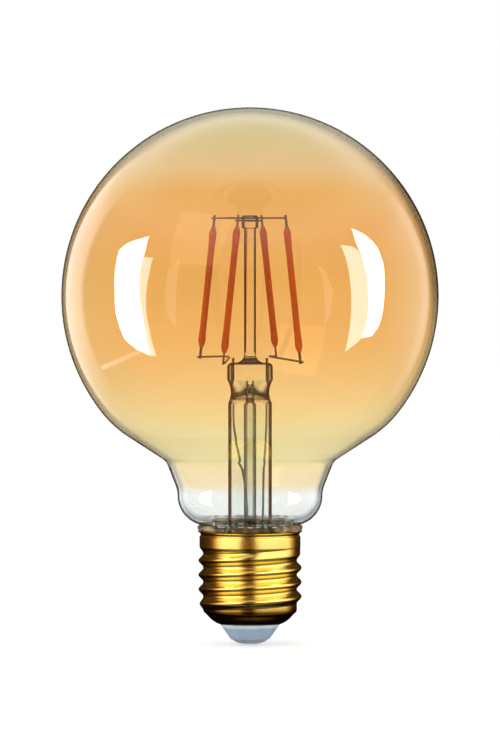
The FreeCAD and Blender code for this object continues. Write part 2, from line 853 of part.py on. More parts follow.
def eased(value, low, high):
    """0 below low, 1 above high and a smooth way between them."""
    share = min(max((value - low) / (high - low), 0.0), 1.0)
    return share * share * (3 - 2 * share)


def thread_edge(s, sink, offset, faded, stretch=0.0):
    """One edge of the thread's ridge, a helix. It stands at the crest where faded, and else in the root.

    The crest rises out of the wall along the first part of the thread and sinks back along its last.
    Where the thread reaches the collar its crest comes level with the collar, and the upper edges
    stretch up into it.
    """
    turns = s.thread_turns.value
    last = FULL_TURN * turns
    steps = math.ceil(turns * STEPS_PER_TURN)
    points = []
    for i in range(steps + 1):
        angle = last * i / steps
        merged = eased(angle, last - s.merge_start.value, last - s.merge_end.value)
        radius = s.root_radius.value - sink
        if faded:
            level = s.collar_radius.value - s.merge_sink.value
            crest = s.crest_radius.value + (level - s.crest_radius.value) * merged
            radius += (crest - radius) * eased(min(angle, last - angle), 0.0, s.thread_run_in.value)
        height = s.thread_start_height.value + s.thread_pitch.value * angle / FULL_TURN
        height += offset + stretch * merged
        points.append(polar(radius, s.thread_start_angle.value + angle, height))
    curve = Part.BSplineCurve()
    curve.interpolate(points)
    return curve.toShape()


def thread_ridge(s):
    """The rolled thread as one solid ridge, fading out at both ends and sunk a little into the wall."""
    sink = s.ridge_sink.value
    stretch = s.merge_stretch.value
    edges = [
        thread_edge(s, sink, -s.ridge_base.value / 2, False),
        thread_edge(s, sink / 2, -s.crest_flat.value / 2, True),
        thread_edge(s, sink / 2, s.crest_flat.value / 2, True, stretch),
        thread_edge(s, sink, s.ridge_base.value / 2, False, stretch / 2),
    ]
    faces = [Part.makeRuledSurface(a, b) for a, b in zip(edges, edges[1:] + edges[:1])]
    for position in ("FirstParameter", "LastParameter"):
        ring = [edge.valueAt(getattr(edge, position)) for edge in edges]
        faces.append(Part.Face(Part.makePolygon(ring + ring[:1])))
    joined, _ = faces[0].generalFuse(faces[1:], JOIN_TOLERANCE)
    ridge = Part.makeSolid(Part.makeShell(joined.Faces))
    if ridge.Volume < 0:
        ridge.reverse()
    return ridge


def cap_shell(doc, s):
    """The brass shell: flared lip, plain collar, right-hand thread and turned-in shoulder."""
    blank = new_body(doc, "cap_shell_blank")
    sheet = s.shell_sheet
    bore = s.root_radius - sheet
    # how much higher a corner lies on the inner face than on the outer one, at the knee and at the collar
    knee_shift = sheet / 3
    collar_shift = sheet / 2
    turned(blank, "turned_form", [
        (s.lip_radius - sheet, s.lip_top, s.lip_round + sheet), (s.lip_neck_radius - sheet, s.lip_neck_height),
        (s.collar_radius - sheet, s.collar_top), (s.collar_radius - sheet, s.collar_foot - collar_shift),
        (bore, s.groove_top - collar_shift), (bore, s.shell_foot + knee_shift),
        (s.knee_radius - sheet, s.knee_height + knee_shift, -(s.shoulder_round - sheet)),
        (s.shell_mouth - sheet / 2, s.shell_bottom + sheet), (s.shell_mouth, s.shell_bottom, s.shoulder_round),
        (s.knee_radius, s.knee_height), (s.root_radius, s.shell_foot), (s.root_radius, s.groove_top),
        (s.collar_radius, s.collar_foot), (s.collar_radius, s.collar_top, s.collar_round),
        (s.lip_neck_radius, s.lip_neck_height, -s.lip_round), (s.lip_radius, s.lip_top),
    ])
    ridge = doc.addObject("Part::Feature", "thread_ridge")
    ridge.Shape = thread_ridge(s)
    doc.recompute()
    whole = doc.addObject("Part::Fuse", "threaded_shell")
    whole.Base = blank
    whole.Tool = ridge
    bore_tool = doc.addObject("Part::Cylinder", "thread_bore")
    bore_tool.setExpression("Radius", bore.formula)
    bore_tool.setExpression("Height", (s.groove_top - s.shell_foot - sheet).formula)
    move_to(bore_tool, 0, 0, s.shell_foot)
    shell = doc.addObject("Part::Cut", "cap_shell")
    shell.Label = "cap_shell"
    shell.Base = whole
    shell.Tool = bore_tool
    return shell


def cap_insulator(doc, s):
    """The moulded insulator, which closes the shell's foot and grips its turned-in edge."""
    body = new_body(doc, "cap_insulator")
    gap = s.seat_gap
    sheet = s.shell_sheet
    hole = s.shank_radius + gap
    foot = s.contact_thickness
    throat = s.shell_mouth - sheet - gap
    ledge = s.shell_bottom + sheet + gap
    turned(body, "moulded_form", [
        (hole, foot), (s.cone_foot_radius, foot), (s.cone_top_radius, s.shell_bottom - gap),
        (throat, s.shell_bottom - gap), (throat, ledge + gap),
        (s.flange_radius, s.flange_foot), (s.flange_radius, s.insulator_top), (s.dish_radius, s.insulator_top),
        (s.dish_radius - s.dish_slope, s.insulator_dish), (hole, s.insulator_dish),
    ])
    return body


def centre_contact(doc, s):
    """The contact button, flat in the middle and rounded to its rim, on a hollow shank."""
    body = new_body(doc, "centre_contact")
    top = s.contact_thickness - s.seat_gap
    turned(body, "button", [
        (0, 0), (s.contact_flat, 0, s.contact_round), (s.contact_radius, top), (s.shank_radius, top),
        (s.shank_radius, s.shank_top), (s.shank_bore, s.shank_top), (s.shank_bore, top), (0, top),
    ])
    return body


def basing_cement(doc, s):
    """The ring of cement between neck and collar, with the bead that stands above the lip."""
    body = new_body(doc, "basing_cement")
    gap = s.cement_gap
    inner = s.seal_radius + gap
    outer = s.collar_radius - s.shell_sheet - gap
    turned(body, "cement_ring", [
        (inner, s.cement_foot), (outer, s.cement_foot), (outer, s.collar_top - gap),
        (s.lip_neck_radius - s.shell_sheet - gap, s.lip_neck_height, -(s.lip_round + s.shell_sheet + gap)),
        (s.lip_radius - s.shell_sheet - gap * 2, s.lip_top, s.cement_bead),
        (s.seal_radius + s.root_fillet / 2, s.bead_top), (inner, s.lip_top + gap),
    ])
    return body


# Driver


def board_height(s):
    """The underside of the driver board."""
    return s.seal_height - s.board_drop


def driver_board(doc, s):
    """The round board with holes for the leads, the resistor and the wire to the shell."""
    body = new_body(doc, "driver_board")
    sketch = new_sketch(body, "board_outline", "XY_Plane")
    circle_in(sketch, 0, 0, s.board_radius)
    pad = feature(body, "Pad", "board", sketch)
    pad.setExpression("Length", s.board_thickness.formula)
    places = (LEFT_LEAD_PLACE, RIGHT_LEAD_PLACE, RESISTOR_PLACE, SHELL_WIRE_PLACE)
    round_holes(body, "wire_holes", s.board_thickness, places, s.board_hole / 2, s.board_thickness)
    move_to(body, 0, 0, board_height(s))
    return body


def smoothing_capacitor(doc, s):
    """The electrolytic can hung under the board, with the rolled groove near its seal."""
    body = new_body(doc, "smoothing_capacitor")
    radius = s.capacitor_radius
    length = board_height(s) - s.insulator_top - s.capacitor_room
    edge = s.can_edge
    groove = length - s.can_groove_drop
    turned(body, "can", [
        (0, 0), (radius - edge, 0), (radius, edge), (radius, groove - s.can_groove),
        (radius - s.can_groove, groove), (radius, groove + s.can_groove), (radius, length - edge),
        (radius - edge, length), (0, length),
    ])
    move_to(body, *CAPACITOR_PLACE, board_height(s) - length - s.seal_gap)
    return body


def fuse_resistor(doc, s):
    """The fusible resistor: its upper lead goes into the board and its lower one into the contact."""
    radius = s.resistor_radius.value
    thin = s.thin_wire.value
    board = board_height(s).value
    foot = s.insulator_top.value + s.resistor_room.value
    length = board - s.resistor_drop.value - foot
    place = vector(*RESISTOR_PLACE, foot)
    middle = place + UP * (length / 2)
    body = Part.makeCylinder(radius, length, place)
    body = body.makeFillet(length * RESISTOR_EDGE, [e for e in body.Edges if e.Closed])
    top = board + s.board_thickness.value + s.wire_end.value
    upper = Part.makeCylinder(thin / 2, top - middle.z, middle)
    entry = s.shank_top.value + thin
    lower = wire([
        middle, vector(*RESISTOR_PLACE, entry), vector(0, 0, entry),
        vector(0, 0, s.contact_thickness.value + thin),
    ], thin, TIGHT_BEND)
    return shaped(doc, "fuse_resistor", body.fuse([upper, lower]).removeSplitter())


def shell_wire(doc, s):
    """The wire from the board to the inside of the shell."""
    board = board_height(s).value
    start = vector(*SHELL_WIRE_PLACE, board + s.board_thickness.value + s.wire_end.value)
    corner = vector(*SHELL_WIRE_PLACE, board - TIGHT_BEND)
    outward = vector(*SHELL_WIRE_PLACE, 0).normalize()
    wall = s.root_radius.value - s.shell_sheet.value - s.seat_gap.value
    end = outward * wall + UP * (corner.z - TIGHT_BEND)
    return shaped(doc, "shell_wire", wire([start, corner, end], s.thin_wire.value, TIGHT_BEND))


def check_all(doc, parts):
    """Stops the run where an object failed, or a sub-part has no sound solid."""
    for thing in doc.Objects:
        if "Invalid" in thing.State or "Error" in thing.State:
            raise RuntimeError(f"{thing.Name} failed: {thing.State}")
    for part in parts:
        shape = part.Shape
        if shape.isNull() or not shape.isValid() or not shape.Solids:
            raise RuntimeError(f"{part.Label} has no sound solid")


def main():
    doc = FreeCAD.newDocument("globe_bulb")
    s = make_sheet(doc)
    parts = [
        glass_globe(doc, s), stem_tube(doc, s), exhaust_tube(doc, s), support_rod(doc, s),
        cap_shell(doc, s), cap_insulator(doc, s), centre_contact(doc, s), basing_cement(doc, s),
        driver_board(doc, s), smoothing_capacitor(doc, s), fuse_resistor(doc, s), shell_wire(doc, s),
    ]
    parts.append(box_body(
        doc, "bridge_rectifier", s.rectifier_length, s.rectifier_width, s.rectifier_height,
        (*RECTIFIER_PLACE, board_height(s) - s.rectifier_height - s.seal_gap),
    ))
    parts.append(box_body(
        doc, "driver_chip", s.chip_length, s.chip_width, s.chip_height,
        (*CHIP_PLACE, board_height(s) + s.board_thickness + s.seal_gap),
    ))
    for number in range(4):
        parts.append(filament_strip(doc, s, number))
        parts.append(filament_coat(doc, s, number))
    parts.append(top_wire(doc, s, "top_wire_high", s.high_wire_drop, 1))
    parts.append(top_wire(doc, s, "top_wire_low", s.low_wire_drop, 0))
    side = s.lead_spacing.value / 2
    parts.append(lead_wire(doc, s, "lead_wire_left", LEFT_LEAD_PLACE, LEFT_LEAD_BENDS, -side))
    parts.append(lead_wire(doc, s, "lead_wire_right", RIGHT_LEAD_PLACE, RIGHT_LEAD_BENDS, side))
    parts.append(cross_wire(doc, s, "foot_wire_left", LEFT_JOINT, (1, 2)))
    parts.append(cross_wire(doc, s, "foot_wire_right", RIGHT_JOINT, (0, 3)))
    doc.recompute()
    check_all(doc, parts)
    os.makedirs("parts", exist_ok=True)
    for part in parts:
        part.Shape.exportStep(f"parts/{part.Label}.step")
        print(part.Label, round(part.Shape.Volume, 1), "mm3")


main()
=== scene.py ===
import math
import random

import bmesh
import bpy
from mathutils import Matrix, Vector, noise

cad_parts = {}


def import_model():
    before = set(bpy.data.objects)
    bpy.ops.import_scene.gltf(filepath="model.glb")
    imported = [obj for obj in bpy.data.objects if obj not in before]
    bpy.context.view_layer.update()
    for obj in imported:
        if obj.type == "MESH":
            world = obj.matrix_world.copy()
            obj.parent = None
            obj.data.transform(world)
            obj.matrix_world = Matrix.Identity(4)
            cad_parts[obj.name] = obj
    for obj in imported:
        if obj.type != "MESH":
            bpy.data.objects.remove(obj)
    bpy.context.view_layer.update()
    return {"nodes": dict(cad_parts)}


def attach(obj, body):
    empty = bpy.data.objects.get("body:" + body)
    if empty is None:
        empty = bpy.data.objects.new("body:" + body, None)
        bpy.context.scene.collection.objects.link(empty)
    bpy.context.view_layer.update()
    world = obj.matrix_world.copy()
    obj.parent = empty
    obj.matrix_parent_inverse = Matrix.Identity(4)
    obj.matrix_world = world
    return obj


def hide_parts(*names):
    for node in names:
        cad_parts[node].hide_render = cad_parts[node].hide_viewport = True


# An amber globe bulb with a brass screw cap. Lengths are in millimetres until they become a mesh.

MM = 0.001
FULL_TURN = 2 * math.pi

# envelope, as in the part's source
GLOBE_RADIUS = 47.5
GLOBE_HEIGHT = 87.5
WALL = 0.8
BLEND_RADIUS = 27.5
BLEND_DROP = 12.3
THROAT_FILLET = 3.5
THROAT_REACH = 5.74
THROAT_RISE = 6.38
THROAT_STAND = 2.55
NECK_RADIUS = 18.27
NECK_HEIGHT = 37.2
NECK_HOLLOW = 7.0
NECK_ROUND = 7.5
ROOT_FILLET = 1.2
SEAL_RADIUS = 11.3
SEAL_HEIGHT = 20.0

# how finely the envelope is drawn: degrees a step along each arc, the degrees above level at which the
# globe's own arc begins, and steps round the axis
GLOBE_STEP = 1.6
THROAT_STEP = 6
BULGE_STEP = 5
ROOT_STEP = 14
GLOBE_ARC_START = 89
GLOBE_SEGMENTS = 224

# screw cap, as in the part's source; a point is a radius and a height
SHEET = 0.35
LIP = (13.3, 28.2)
LIP_NECK = (12.4, 27.3)
COLLAR_TOP = (12.75, 26.6)
KNEE = (10.6, 6.8)
MOUTH = (7.9, 4.85)
# the radii of the arcs from lip to neck, from neck to collar and from knee to mouth, and their steps
LIP_BEND = (1.3, 8)
NECK_BEND = (-0.8, 6)
SHOULDER_BEND = (-6.5, 10)
# the wall between knee and collar, as heights and radii, and how far its bends are rounded
WALL_PROFILE = [(6.8, 10.6), (8.2, 11.85), (22.95, 11.85), (24.1, 12.75), (26.6, 12.75)]
WALL_SOFTNESS = 0.22
# the inside of that wall, as radii and heights, and the thickness left at the lip's edge
INSIDE_WALL = [(11.5, 8.3), (11.5, 22.78), (12.4, 23.93)]
LIP_EDGE = 0.05
# the rows of the wall from the top down, and their spacing
WALL_TOP_ROW = 24.7
WALL_LOW_ROW = 6.95
WALL_ROW_STEP = 0.15
CAP_SEGMENTS = 240

# rolled thread; angles and lengths along it are in degrees
THREAD_ROOT = 11.8
THREAD_CREST = 13.03
THREAD_PITCH = 3.629
THREAD_START_HEIGHT = 9.5
THREAD_START_ANGLE = 135.0
THREAD_LENGTH = 1368.0
THREAD_RUN_IN = 70.0
# how far before its end the thread starts to widen into the collar and is part of it
MERGE_START = 190.0
MERGE_END = 90.0
# how far the merged thread stays inside the collar's face
MERGED_SINK = 0.03
# the heights between which the thread fades in above the shoulder
THREAD_FADE = (7.2, 8.4)

# cement ring: its section as radii and heights, which of these points are rough, and its crumbs
CEMENT_SECTION = [
    (11.4, 24.3), (12.25, 24.3), (12.25, 26.4), (11.95, 27.3), (12.1, 27.75), (12.55, 28.1), (12.95, 28.35),
    (13.15, 28.75), (13.2, 29.2), (13.0, 29.6), (12.65, 29.7), (12.1, 29.2), (11.9, 28.75), (11.4, 28.5),
]
ROUGH_POINTS = range(6, 11)
CEMENT_SEGMENTS = 150
# how the rough points waver out and up: depth, scale and shift of a coarse and a fine noise, read off rings
# of this radius that lie this far apart
WAVER_OUT = ((0.18, 1.1, 0), (0.10, 2.7, 0))
WAVER_UP = ((0.22, 0.9, 5), (0.12, 3.1, 0))
WAVER_RADIUS = 9
WAVER_RISE = 0.7
CEMENT_SEED = 7
CRUMB_COUNT = 230
SMALL_CRUMB = (0.16, 0.42)
LARGE_CRUMB = (0.42, 0.7)
SMALL_SHARE = 0.75
BEAD_RADII = (12.5, 13.0)
BEAD_HEIGHTS = (29.2, 29.8)
# where crumbs climb the glass: the side, in degrees, and how high; two in three lie in front
CLIMBS = ((-90, 1.2), (-90, 1.2), (90, 0.3))
CLIMB_SPREAD = 50
CLIMB_FOOT = 29.95
# most climbing crumbs stay low, and each stands off the glass by a share of its size
CLIMB_POWER = 1.4
CRUMB_STAND = 0.55
# how much wider or flatter than round a crumb may be, and how deep and fine its lumps are
CRUMB_WIDTH = (0.7, 1.4)
CRUMB_FLATNESS = (0.5, 0.9)
LUMP_DEPTH = 0.45
LUMP_WAVES = 1.6

# the height from which the stem is pressed flat, the radius beyond which only the tube's outer face lies,
# and the height at which the rod widens into its foot
PRESS_FOOT = 61.2
STEM_SKIN = 5.1
ROD_FOOT = 73.2

# photograph
FRAME_HEIGHT = 750
MM_PER_PIXEL = 0.252
FOOT_ROW = 643.3
CAMERA_DISTANCE = 1400.0
CAMERA_PITCH = 1.5
SENSOR = 36.0
CAMERA_REACH = 50000.0

# how bright the world is for light that isn't seen directly
WORLD_FILL = 0.75

# the floor lies just under the contact, and its glow lifts it to white round the shadow
FLOOR_REACH = 3000
FLOOR_DROP = 0.4
FLOOR_GREY = (0.8, 0.8, 0.8)
FLOOR_GLOW = 0.4

# the lamp that casts the shadow: its place and target, the side of its square, and its radiance
KEY_PLACE = (-800, -1100, 1000)
KEY_TARGET = (0, 0, 87)
KEY_SIDE = 900
KEY_RADIANCE = 1.6

# the spheres that glass and brass mirror: the degrees of a step, how far above and below level the steps
# go before the poles, and the steps round
STUDIO_WALL_RADIUS = 1500.0
CAP_WALL_RADIUS = 1400.0
CAP_WALL_HEIGHT = 16
WALLS_STEP = 6
WALLS_END = 84
WALLS_SEGMENTS = 48

# How bright the studio's walls are in the glass. Round: from behind by the left, the camera and the right,
# as 0 to 1. Up: from straight down to straight up, where 0.5 is level. The ring of light above adds to them.
WALL_LEVELS = [
    (0.000, 0.02), (0.074, 0.02), (0.085, 2.1), (0.150, 2.3), (0.170, 0.40), (0.230, 0.35), (0.290, 0.04),
    (0.500, 0.015), (0.690, 0.04), (0.740, 0.25), (0.775, 0.8), (0.800, 1.1), (0.840, 1.3), (0.868, 1.6),
    (0.880, 1.3), (0.896, 0.02), (1.000, 0.02),
]
WALL_HEIGHT_LEVELS = [(0.22, 0.08), (0.47, 1.0), (0.62, 1.0), (0.84, 0.0)]
TOP_RING_LEVELS = [(0.60, 0.0), (0.70, 0.45), (0.83, 1.35), (0.94, 0.75)]

# Where the lit cards are mirrored in the globe: how bright each is, and its outline in millimetres from the
# globe's centre, as seen in the photograph.
MIRRORED_CARDS = {
    "left_card": (26.0, [
        (-25.4, 15.2), (-27.6, 14.4), (-30.7, 13.5), (-33.0, 11.6), (-33.9, 6.6), (-34.1, 1.5), (-33.9, -3.5),
        (-32.9, -7.9), (-31.4, -11.1), (-28.2, -13.6), (-25.1, -15.0), (-26.3, -8.6), (-27.3, -3.5),
        (-27.9, 1.5), (-27.6, 6.6), (-26.3, 11.6),
    ]),
    "left_inner_card": (10.0, [
        (-24.4, 9.7), (-26.9, 9.8), (-27.6, 6.6), (-27.9, 1.5), (-27.3, -3.5), (-26.3, -8.6), (-25.1, -15.0),
        (-23.6, -15.1), (-25.3, -8.6), (-26.2, -3.5), (-26.1, 1.5), (-25.2, 6.6),
    ]),
    "right_card": (26.0, [
        (25.6, 17.0), (29.1, 15.4), (31.9, 12.6), (33.5, 8.5), (33.9, 1.5), (33.5, -3.5), (32.6, -7.3),
        (30.6, -10.1), (28.1, -10.6), (29.4, -6.7), (29.9, -2.2), (29.6, 4.1), (28.5, 9.1), (26.6, 13.5),
    ]),
    "right_inner_card": (11.0, [
        (22.8, 12.9), (25.3, 12.6), (27.2, 11.6), (28.5, 9.1), (29.6, 4.1), (29.9, -2.2), (29.4, -6.7),
        (28.1, -10.6), (23.9, -14.1), (25.0, -8.5), (25.5, -2.2), (25.2, 4.1), (24.1, 9.7),
    ]),
    "right_faint_card": (1.3, [
        (16.6, 8.4), (19.4, 6.0), (20.9, 1.0), (20.2, -5.0), (18.6, -7.6), (18.9, -2.0), (18.3, 4.0),
    ]),
    "left_faint_card": (1.3, [
        (-17.6, 9.4), (-20.6, 6.6), (-21.6, 0.4), (-20.8, -5.0), (-18.6, -8.0), (-18.6, -2.0), (-18.2, 4.4),
    ]),
    "left_streak": (2.2, [(-37.6, -17.6), (-28.0, -13.4), (-27.4, -14.3), (-37.2, -18.6)]),
}
CARD_DISTANCE = 1150.0

# The light that the brass mirrors: its colour by degrees round from the camera, and its strength by height.
CAP_LIGHT = [
    (-180, (0.02, 0.012, 0.005)), (-112, (0.05, 0.025, 0.01)), (-94, (0.14, 0.06, 0.02)),
    (-84, (0.95, 0.50, 0.20)), (-69, (1.55, 1.50, 1.40)), (-28, (1.55, 1.50, 1.40)),
    (-17, (0.40, 0.20, 0.06)), (0, (0.22, 0.05, 0.004)), (8, (0.30, 0.11, 0.015)),
    (17, (1.20, 1.02, 0.75)), (28, (1.45, 1.38, 1.25)), (98, (1.35, 1.25, 1.05)),
    (112, (0.55, 0.32, 0.12)), (124, (0.04, 0.02, 0.008)), (180, (0.02, 0.012, 0.005)),
]
CAP_LEVELS = [(0.0, 0.10), (0.30, 0.14), (0.42, 0.35), (0.485, 1.0), (0.60, 1.2), (0.93, 1.1), (1.0, 0.5)]
# A gap in that light straight ahead, where the thread's flanks look up or down: round, and by height.
GAP_ROUND = [(0.45, 0.0), (0.47, 1.0), (0.52, 1.0), (0.54, 0.0)]
GAP_LEVELS = [(0.42, 0.95), (0.475, 0.0), (0.525, 0.0), (0.58, 0.95)]

# The heights between which the painted shade on the brass of the shoulder brightens into the brass of the
# thread.
SHOULDER_HEIGHTS = (4.5, 10.5)
# The heights between which the cement turns from the ochre painted reflection in the lip to the mottled
# crumbs on top.
CRUMB_HEIGHTS = (29.8, 30.3)
# The heights of the insulator's cone, over which its painted light and shade run.
CONE_HEIGHTS = (0, 5)

# The share of light that the two walls of clear glass let through.
CLEAR_SHARE = 0.85

# The colour of a view through both walls of the envelope, by height in millimetres.
AMBER_FOOT = 30.0
AMBER_TOP = 135.0
AMBER_BANDS = [
    (33.0, "#e6f0f8"), (37.5, "#e6eff4"), (40.0, "#f0dbb4"), (47.0, "#f2dca5"), (56.0, "#ffd190"),
    (62.0, "#fbc27e"), (76.0, "#eaae62"), (90.0, "#e2a656"), (106.0, "#df9f51"), (114.0, "#dfa450"),
    (120.0, "#dab378"), (132.0, "#c7bc87"),
]

# What one wall of the envelope lets through near its outline, from 0 face on to 1 edge on, painted in as
# light and
# shade: a faint cool painted brightening just inside the outline, then a painted dark rim that stands in for
# shade.
# The dark rim is wide at the globe's upper right, thin elsewhere, pale at the top and grey at the neck.
PAINTED_LIMB_LIGHT = (0.95, 1.03, 1.06)
WIDE_RIM = [
    (0.25, 1.0), (0.5, PAINTED_LIMB_LIGHT), (0.70, PAINTED_LIMB_LIGHT), (0.79, (0.44, 0.37, 0.23)), (0.84, (0.16, 0.12, 0.06)),
    (0.88, (0.02, 0.015, 0.008)),
]
THIN_RIM = [
    (0.25, 1.0), (0.5, PAINTED_LIMB_LIGHT), (0.79, PAINTED_LIMB_LIGHT), (0.86, (0.50, 0.43, 0.28)), (0.91, (0.16, 0.12, 0.06)),
    (0.94, (0.02, 0.015, 0.008)),
]
PALE_RIM = [(0.66, 1.0), (0.79, (0.60, 0.56, 0.46)), (0.92, (0.25, 0.23, 0.18))]
NECK_RIM = [(0.60, 1.0), (0.74, (0.34, 0.36, 0.37)), (0.82, 0.02)]
# Where the wide rim takes over, up and to the right, and the heights at which the neck's rim ends and the
# pale one begins.
WIDE_RIM_HEIGHTS = (78, 90)
WIDE_RIM_SIDE = (0, 30)
NECK_RIM_HEIGHTS = (44.5, 47.5)
PALE_RIM_HEIGHTS = (116, 128)

# How dark the painted shade along the outline of the stem's glass is, from 0 face on to 1 edge on.
TUBE_EDGE = [(0.42, 0.0), (0.52, 1.0)]
PRESS_EDGE = [(0.06, 0.0), (0.16, 0.35), (0.34, 1.0)]
ROD_EDGE = [(0.20, 0.0), (0.32, 1.0)]
ROD_FOOT_EDGE = [(0.42, 0.0), (0.62, 1.0)]
EXHAUST_EDGE = [(0.24, 0.0), (0.36, 1.0)]
# the brown of that painted shade, a dull surface mixed into the glass at its outline
PAINTED_EDGE_SHADE = (0.070, 0.026, 0.002)


# Meshes


def mesh_object(name, vertices, faces, smooth=True):
    mesh = bpy.data.meshes.new(name)
    mesh.from_pydata([(x * MM, y * MM, z * MM) for x, y, z in vertices], [], faces)
    mesh.validate()
    if smooth:
        mesh.shade_smooth()
    piece = bpy.data.objects.new(name, mesh)
    bpy.context.scene.collection.objects.link(piece)
    return piece


def lathe(name, outline, segments):
    """A closed outline of (radius, height) turned about Z. Points on the axis become one vertex."""
    vertices = []
    rings = []
    for radius, height in outline:
        if radius < 1e-6:
            rings.append([len(vertices)] * segments)
            vertices.append((0.0, 0.0, height))
            continue
        ring = []
        for i in range(segments):
            angle = FULL_TURN * i / segments
            ring.append(len(vertices))
            vertices.append((radius * math.cos(angle), radius * math.sin(angle), height))
        rings.append(ring)
    faces = []
    for low, high in zip(rings, rings[1:]):
        for i in range(segments):
            j = (i + 1) % segments
            corners = [low[i], high[i], high[j], low[j]]
            corners = [c for k, c in enumerate(corners) if c not in corners[:k]]
            if len(corners) > 2:
                faces.append(corners)
    return mesh_object(name, vertices, faces)


def arc_points(centre, radius, first, last, step):
    """Points along an arc, from one angle to the other in degrees."""
    count = max(2, math.ceil(abs(last - first) / step))
    points = []
    for i in range(count + 1):
        angle = math.radians(first + (last - first) * i / count)
        points.append((centre[0] + radius * math.cos(angle), centre[1] + radius * math.sin(angle)))
    return points


def lean(high, high_radius, low, low_radius):
    """How far from upright the line leans that touches two circles, on opposite sides for a plus."""
    across = low[0] - high[0]
    down = high[1] - low[1]
    turn = math.degrees(math.asin((high_radius + low_radius) / math.hypot(across, down)))
    return turn - math.degrees(math.atan2(across, down))


def glass_outline(inset):
    """The envelope's half outline from its top down to its foot, drawn inside the outer face by inset."""
    throat = (NECK_RADIUS + THROAT_REACH, NECK_HEIGHT + THROAT_RISE)
    middle = throat[1] + math.sqrt((GLOBE_RADIUS + THROAT_STAND) ** 2 - throat[0] ** 2)
    away = GLOBE_RADIUS - BLEND_RADIUS
    blend_turn = math.degrees(math.asin(BLEND_DROP / away))
    blend = (math.sqrt(away**2 - BLEND_DROP**2), middle - BLEND_DROP)
    hollow = (NECK_RADIUS + NECK_HOLLOW, NECK_HEIGHT)
    bulge = (NECK_RADIUS - NECK_ROUND, NECK_HEIGHT)
    root_x = SEAL_RADIUS + ROOT_FILLET
    root_drop = math.sqrt((NECK_ROUND + ROOT_FILLET) ** 2 - (root_x - bulge[0]) ** 2)
    root = (root_x, NECK_HEIGHT - root_drop)
    root_turn = math.degrees(math.atan2(root_drop, root_x - bulge[0]))
    slope = lean(blend, BLEND_RADIUS, throat, THROAT_FILLET)
    taper = lean(throat, -THROAT_FILLET, hollow, NECK_HOLLOW)
    points = [(0.0, middle + GLOBE_RADIUS - inset)]
    points += arc_points((0, middle), GLOBE_RADIUS - inset, GLOBE_ARC_START, -blend_turn, GLOBE_STEP)
    points += arc_points(blend, BLEND_RADIUS - inset, -blend_turn, -slope, GLOBE_STEP)[1:]
    points += arc_points(throat, THROAT_FILLET + inset, 180 - slope, 180 - taper, THROAT_STEP)
    points += arc_points(hollow, NECK_HOLLOW + inset, 180 - taper, 180, THROAT_STEP)
    points += arc_points(bulge, NECK_ROUND - inset, 0, -root_turn, BULGE_STEP)[1:]
    points += arc_points(root, ROOT_FILLET + inset, 180 - root_turn, 180, ROOT_STEP)[1:]
    points.append((SEAL_RADIUS - inset, SEAL_HEIGHT))
    return points


def arc_way(start, end, radius, count):
    """Points of the arc between two points, with its centre left of the way if radius is positive."""
    (x0, y0), (x1, y1) = start, end
    chord = math.hypot(x1 - x0, y1 - y0)
    rise = math.sqrt(radius**2 - chord**2 / 4)
    side = math.copysign(1.0, radius)
    centre = (
        (x0 + x1) / 2 - side * (y1 - y0) / chord * rise,
        (y0 + y1) / 2 + side * (x1 - x0) / chord * rise,
    )
    first = math.atan2(y0 - centre[1], x0 - centre[0])
    last = math.atan2(y1 - centre[1], x1 - centre[0])
    turn = (last - first + math.pi) % FULL_TURN - math.pi
    angles = [first + turn * i / count for i in range(count + 1)]
    return [(centre[0] + abs(radius) * math.cos(a), centre[1] + abs(radius) * math.sin(a)) for a in angles]


def eased(value, low, high):
    """0 below low, 1 above high and a smooth way between them."""
    share = min(max((value - low) / (high - low), 0.0), 1.0)
    return share * share * (3 - 2 * share)


def between(value, points):
    """A value read off a list of (place, value) with straight lines between them."""
    for (x0, y0), (x1, y1) in zip(points, points[1:]):
        if value <= x1:
            return y0 + (y1 - y0) * max(value - x0, 0.0) / (x1 - x0)
    return points[-1][1]


def wall_radius(height):
    """The shell's plain wall, with the bends of its sheet rounded."""
    steps = [WALL_SOFTNESS * i / 4 for i in range(-4, 5)]
    return sum(between(height + step, WALL_PROFILE) for step in steps) / len(steps)


def thread_stand(angle, height):
    """How far the rolled thread stands out of its root, at an angle round the axis and a height."""
    stand = 0.0
    first = (angle - THREAD_START_ANGLE) % 360
    for turn in range(math.ceil(THREAD_LENGTH / 360)):
        run = first + 360 * turn
        if run > THREAD_LENGTH:
            continue
        out = eased(min(run, THREAD_LENGTH - run), 0.0, THREAD_RUN_IN)
        merged = eased(run, THREAD_LENGTH - MERGE_START, THREAD_LENGTH - MERGE_END)
        across = (height - THREAD_START_HEIGHT) / THREAD_PITCH - run / 360
        share = 0.5 + 0.5 * math.cos(FULL_TURN * across) if abs(across) < 0.5 else 0.0
        if across > 0:
            share += (1 - share) * merged * (across < 1)
        crest = THREAD_CREST - (THREAD_CREST - COLLAR_TOP[0] + MERGED_SINK) * merged
        stand = max(stand, (crest - THREAD_ROOT) * share * out)
    return stand


def threaded_radius(radius, angle, height):
    """The wall's radius with the thread rolled into it, which fades out down to the shoulder."""
    pushed = max(radius, THREAD_ROOT + thread_stand(angle, height))
    if height < THREAD_FADE[1]:
        pushed = radius + max(pushed - radius, 0.0) * eased(height, *THREAD_FADE)
    return pushed


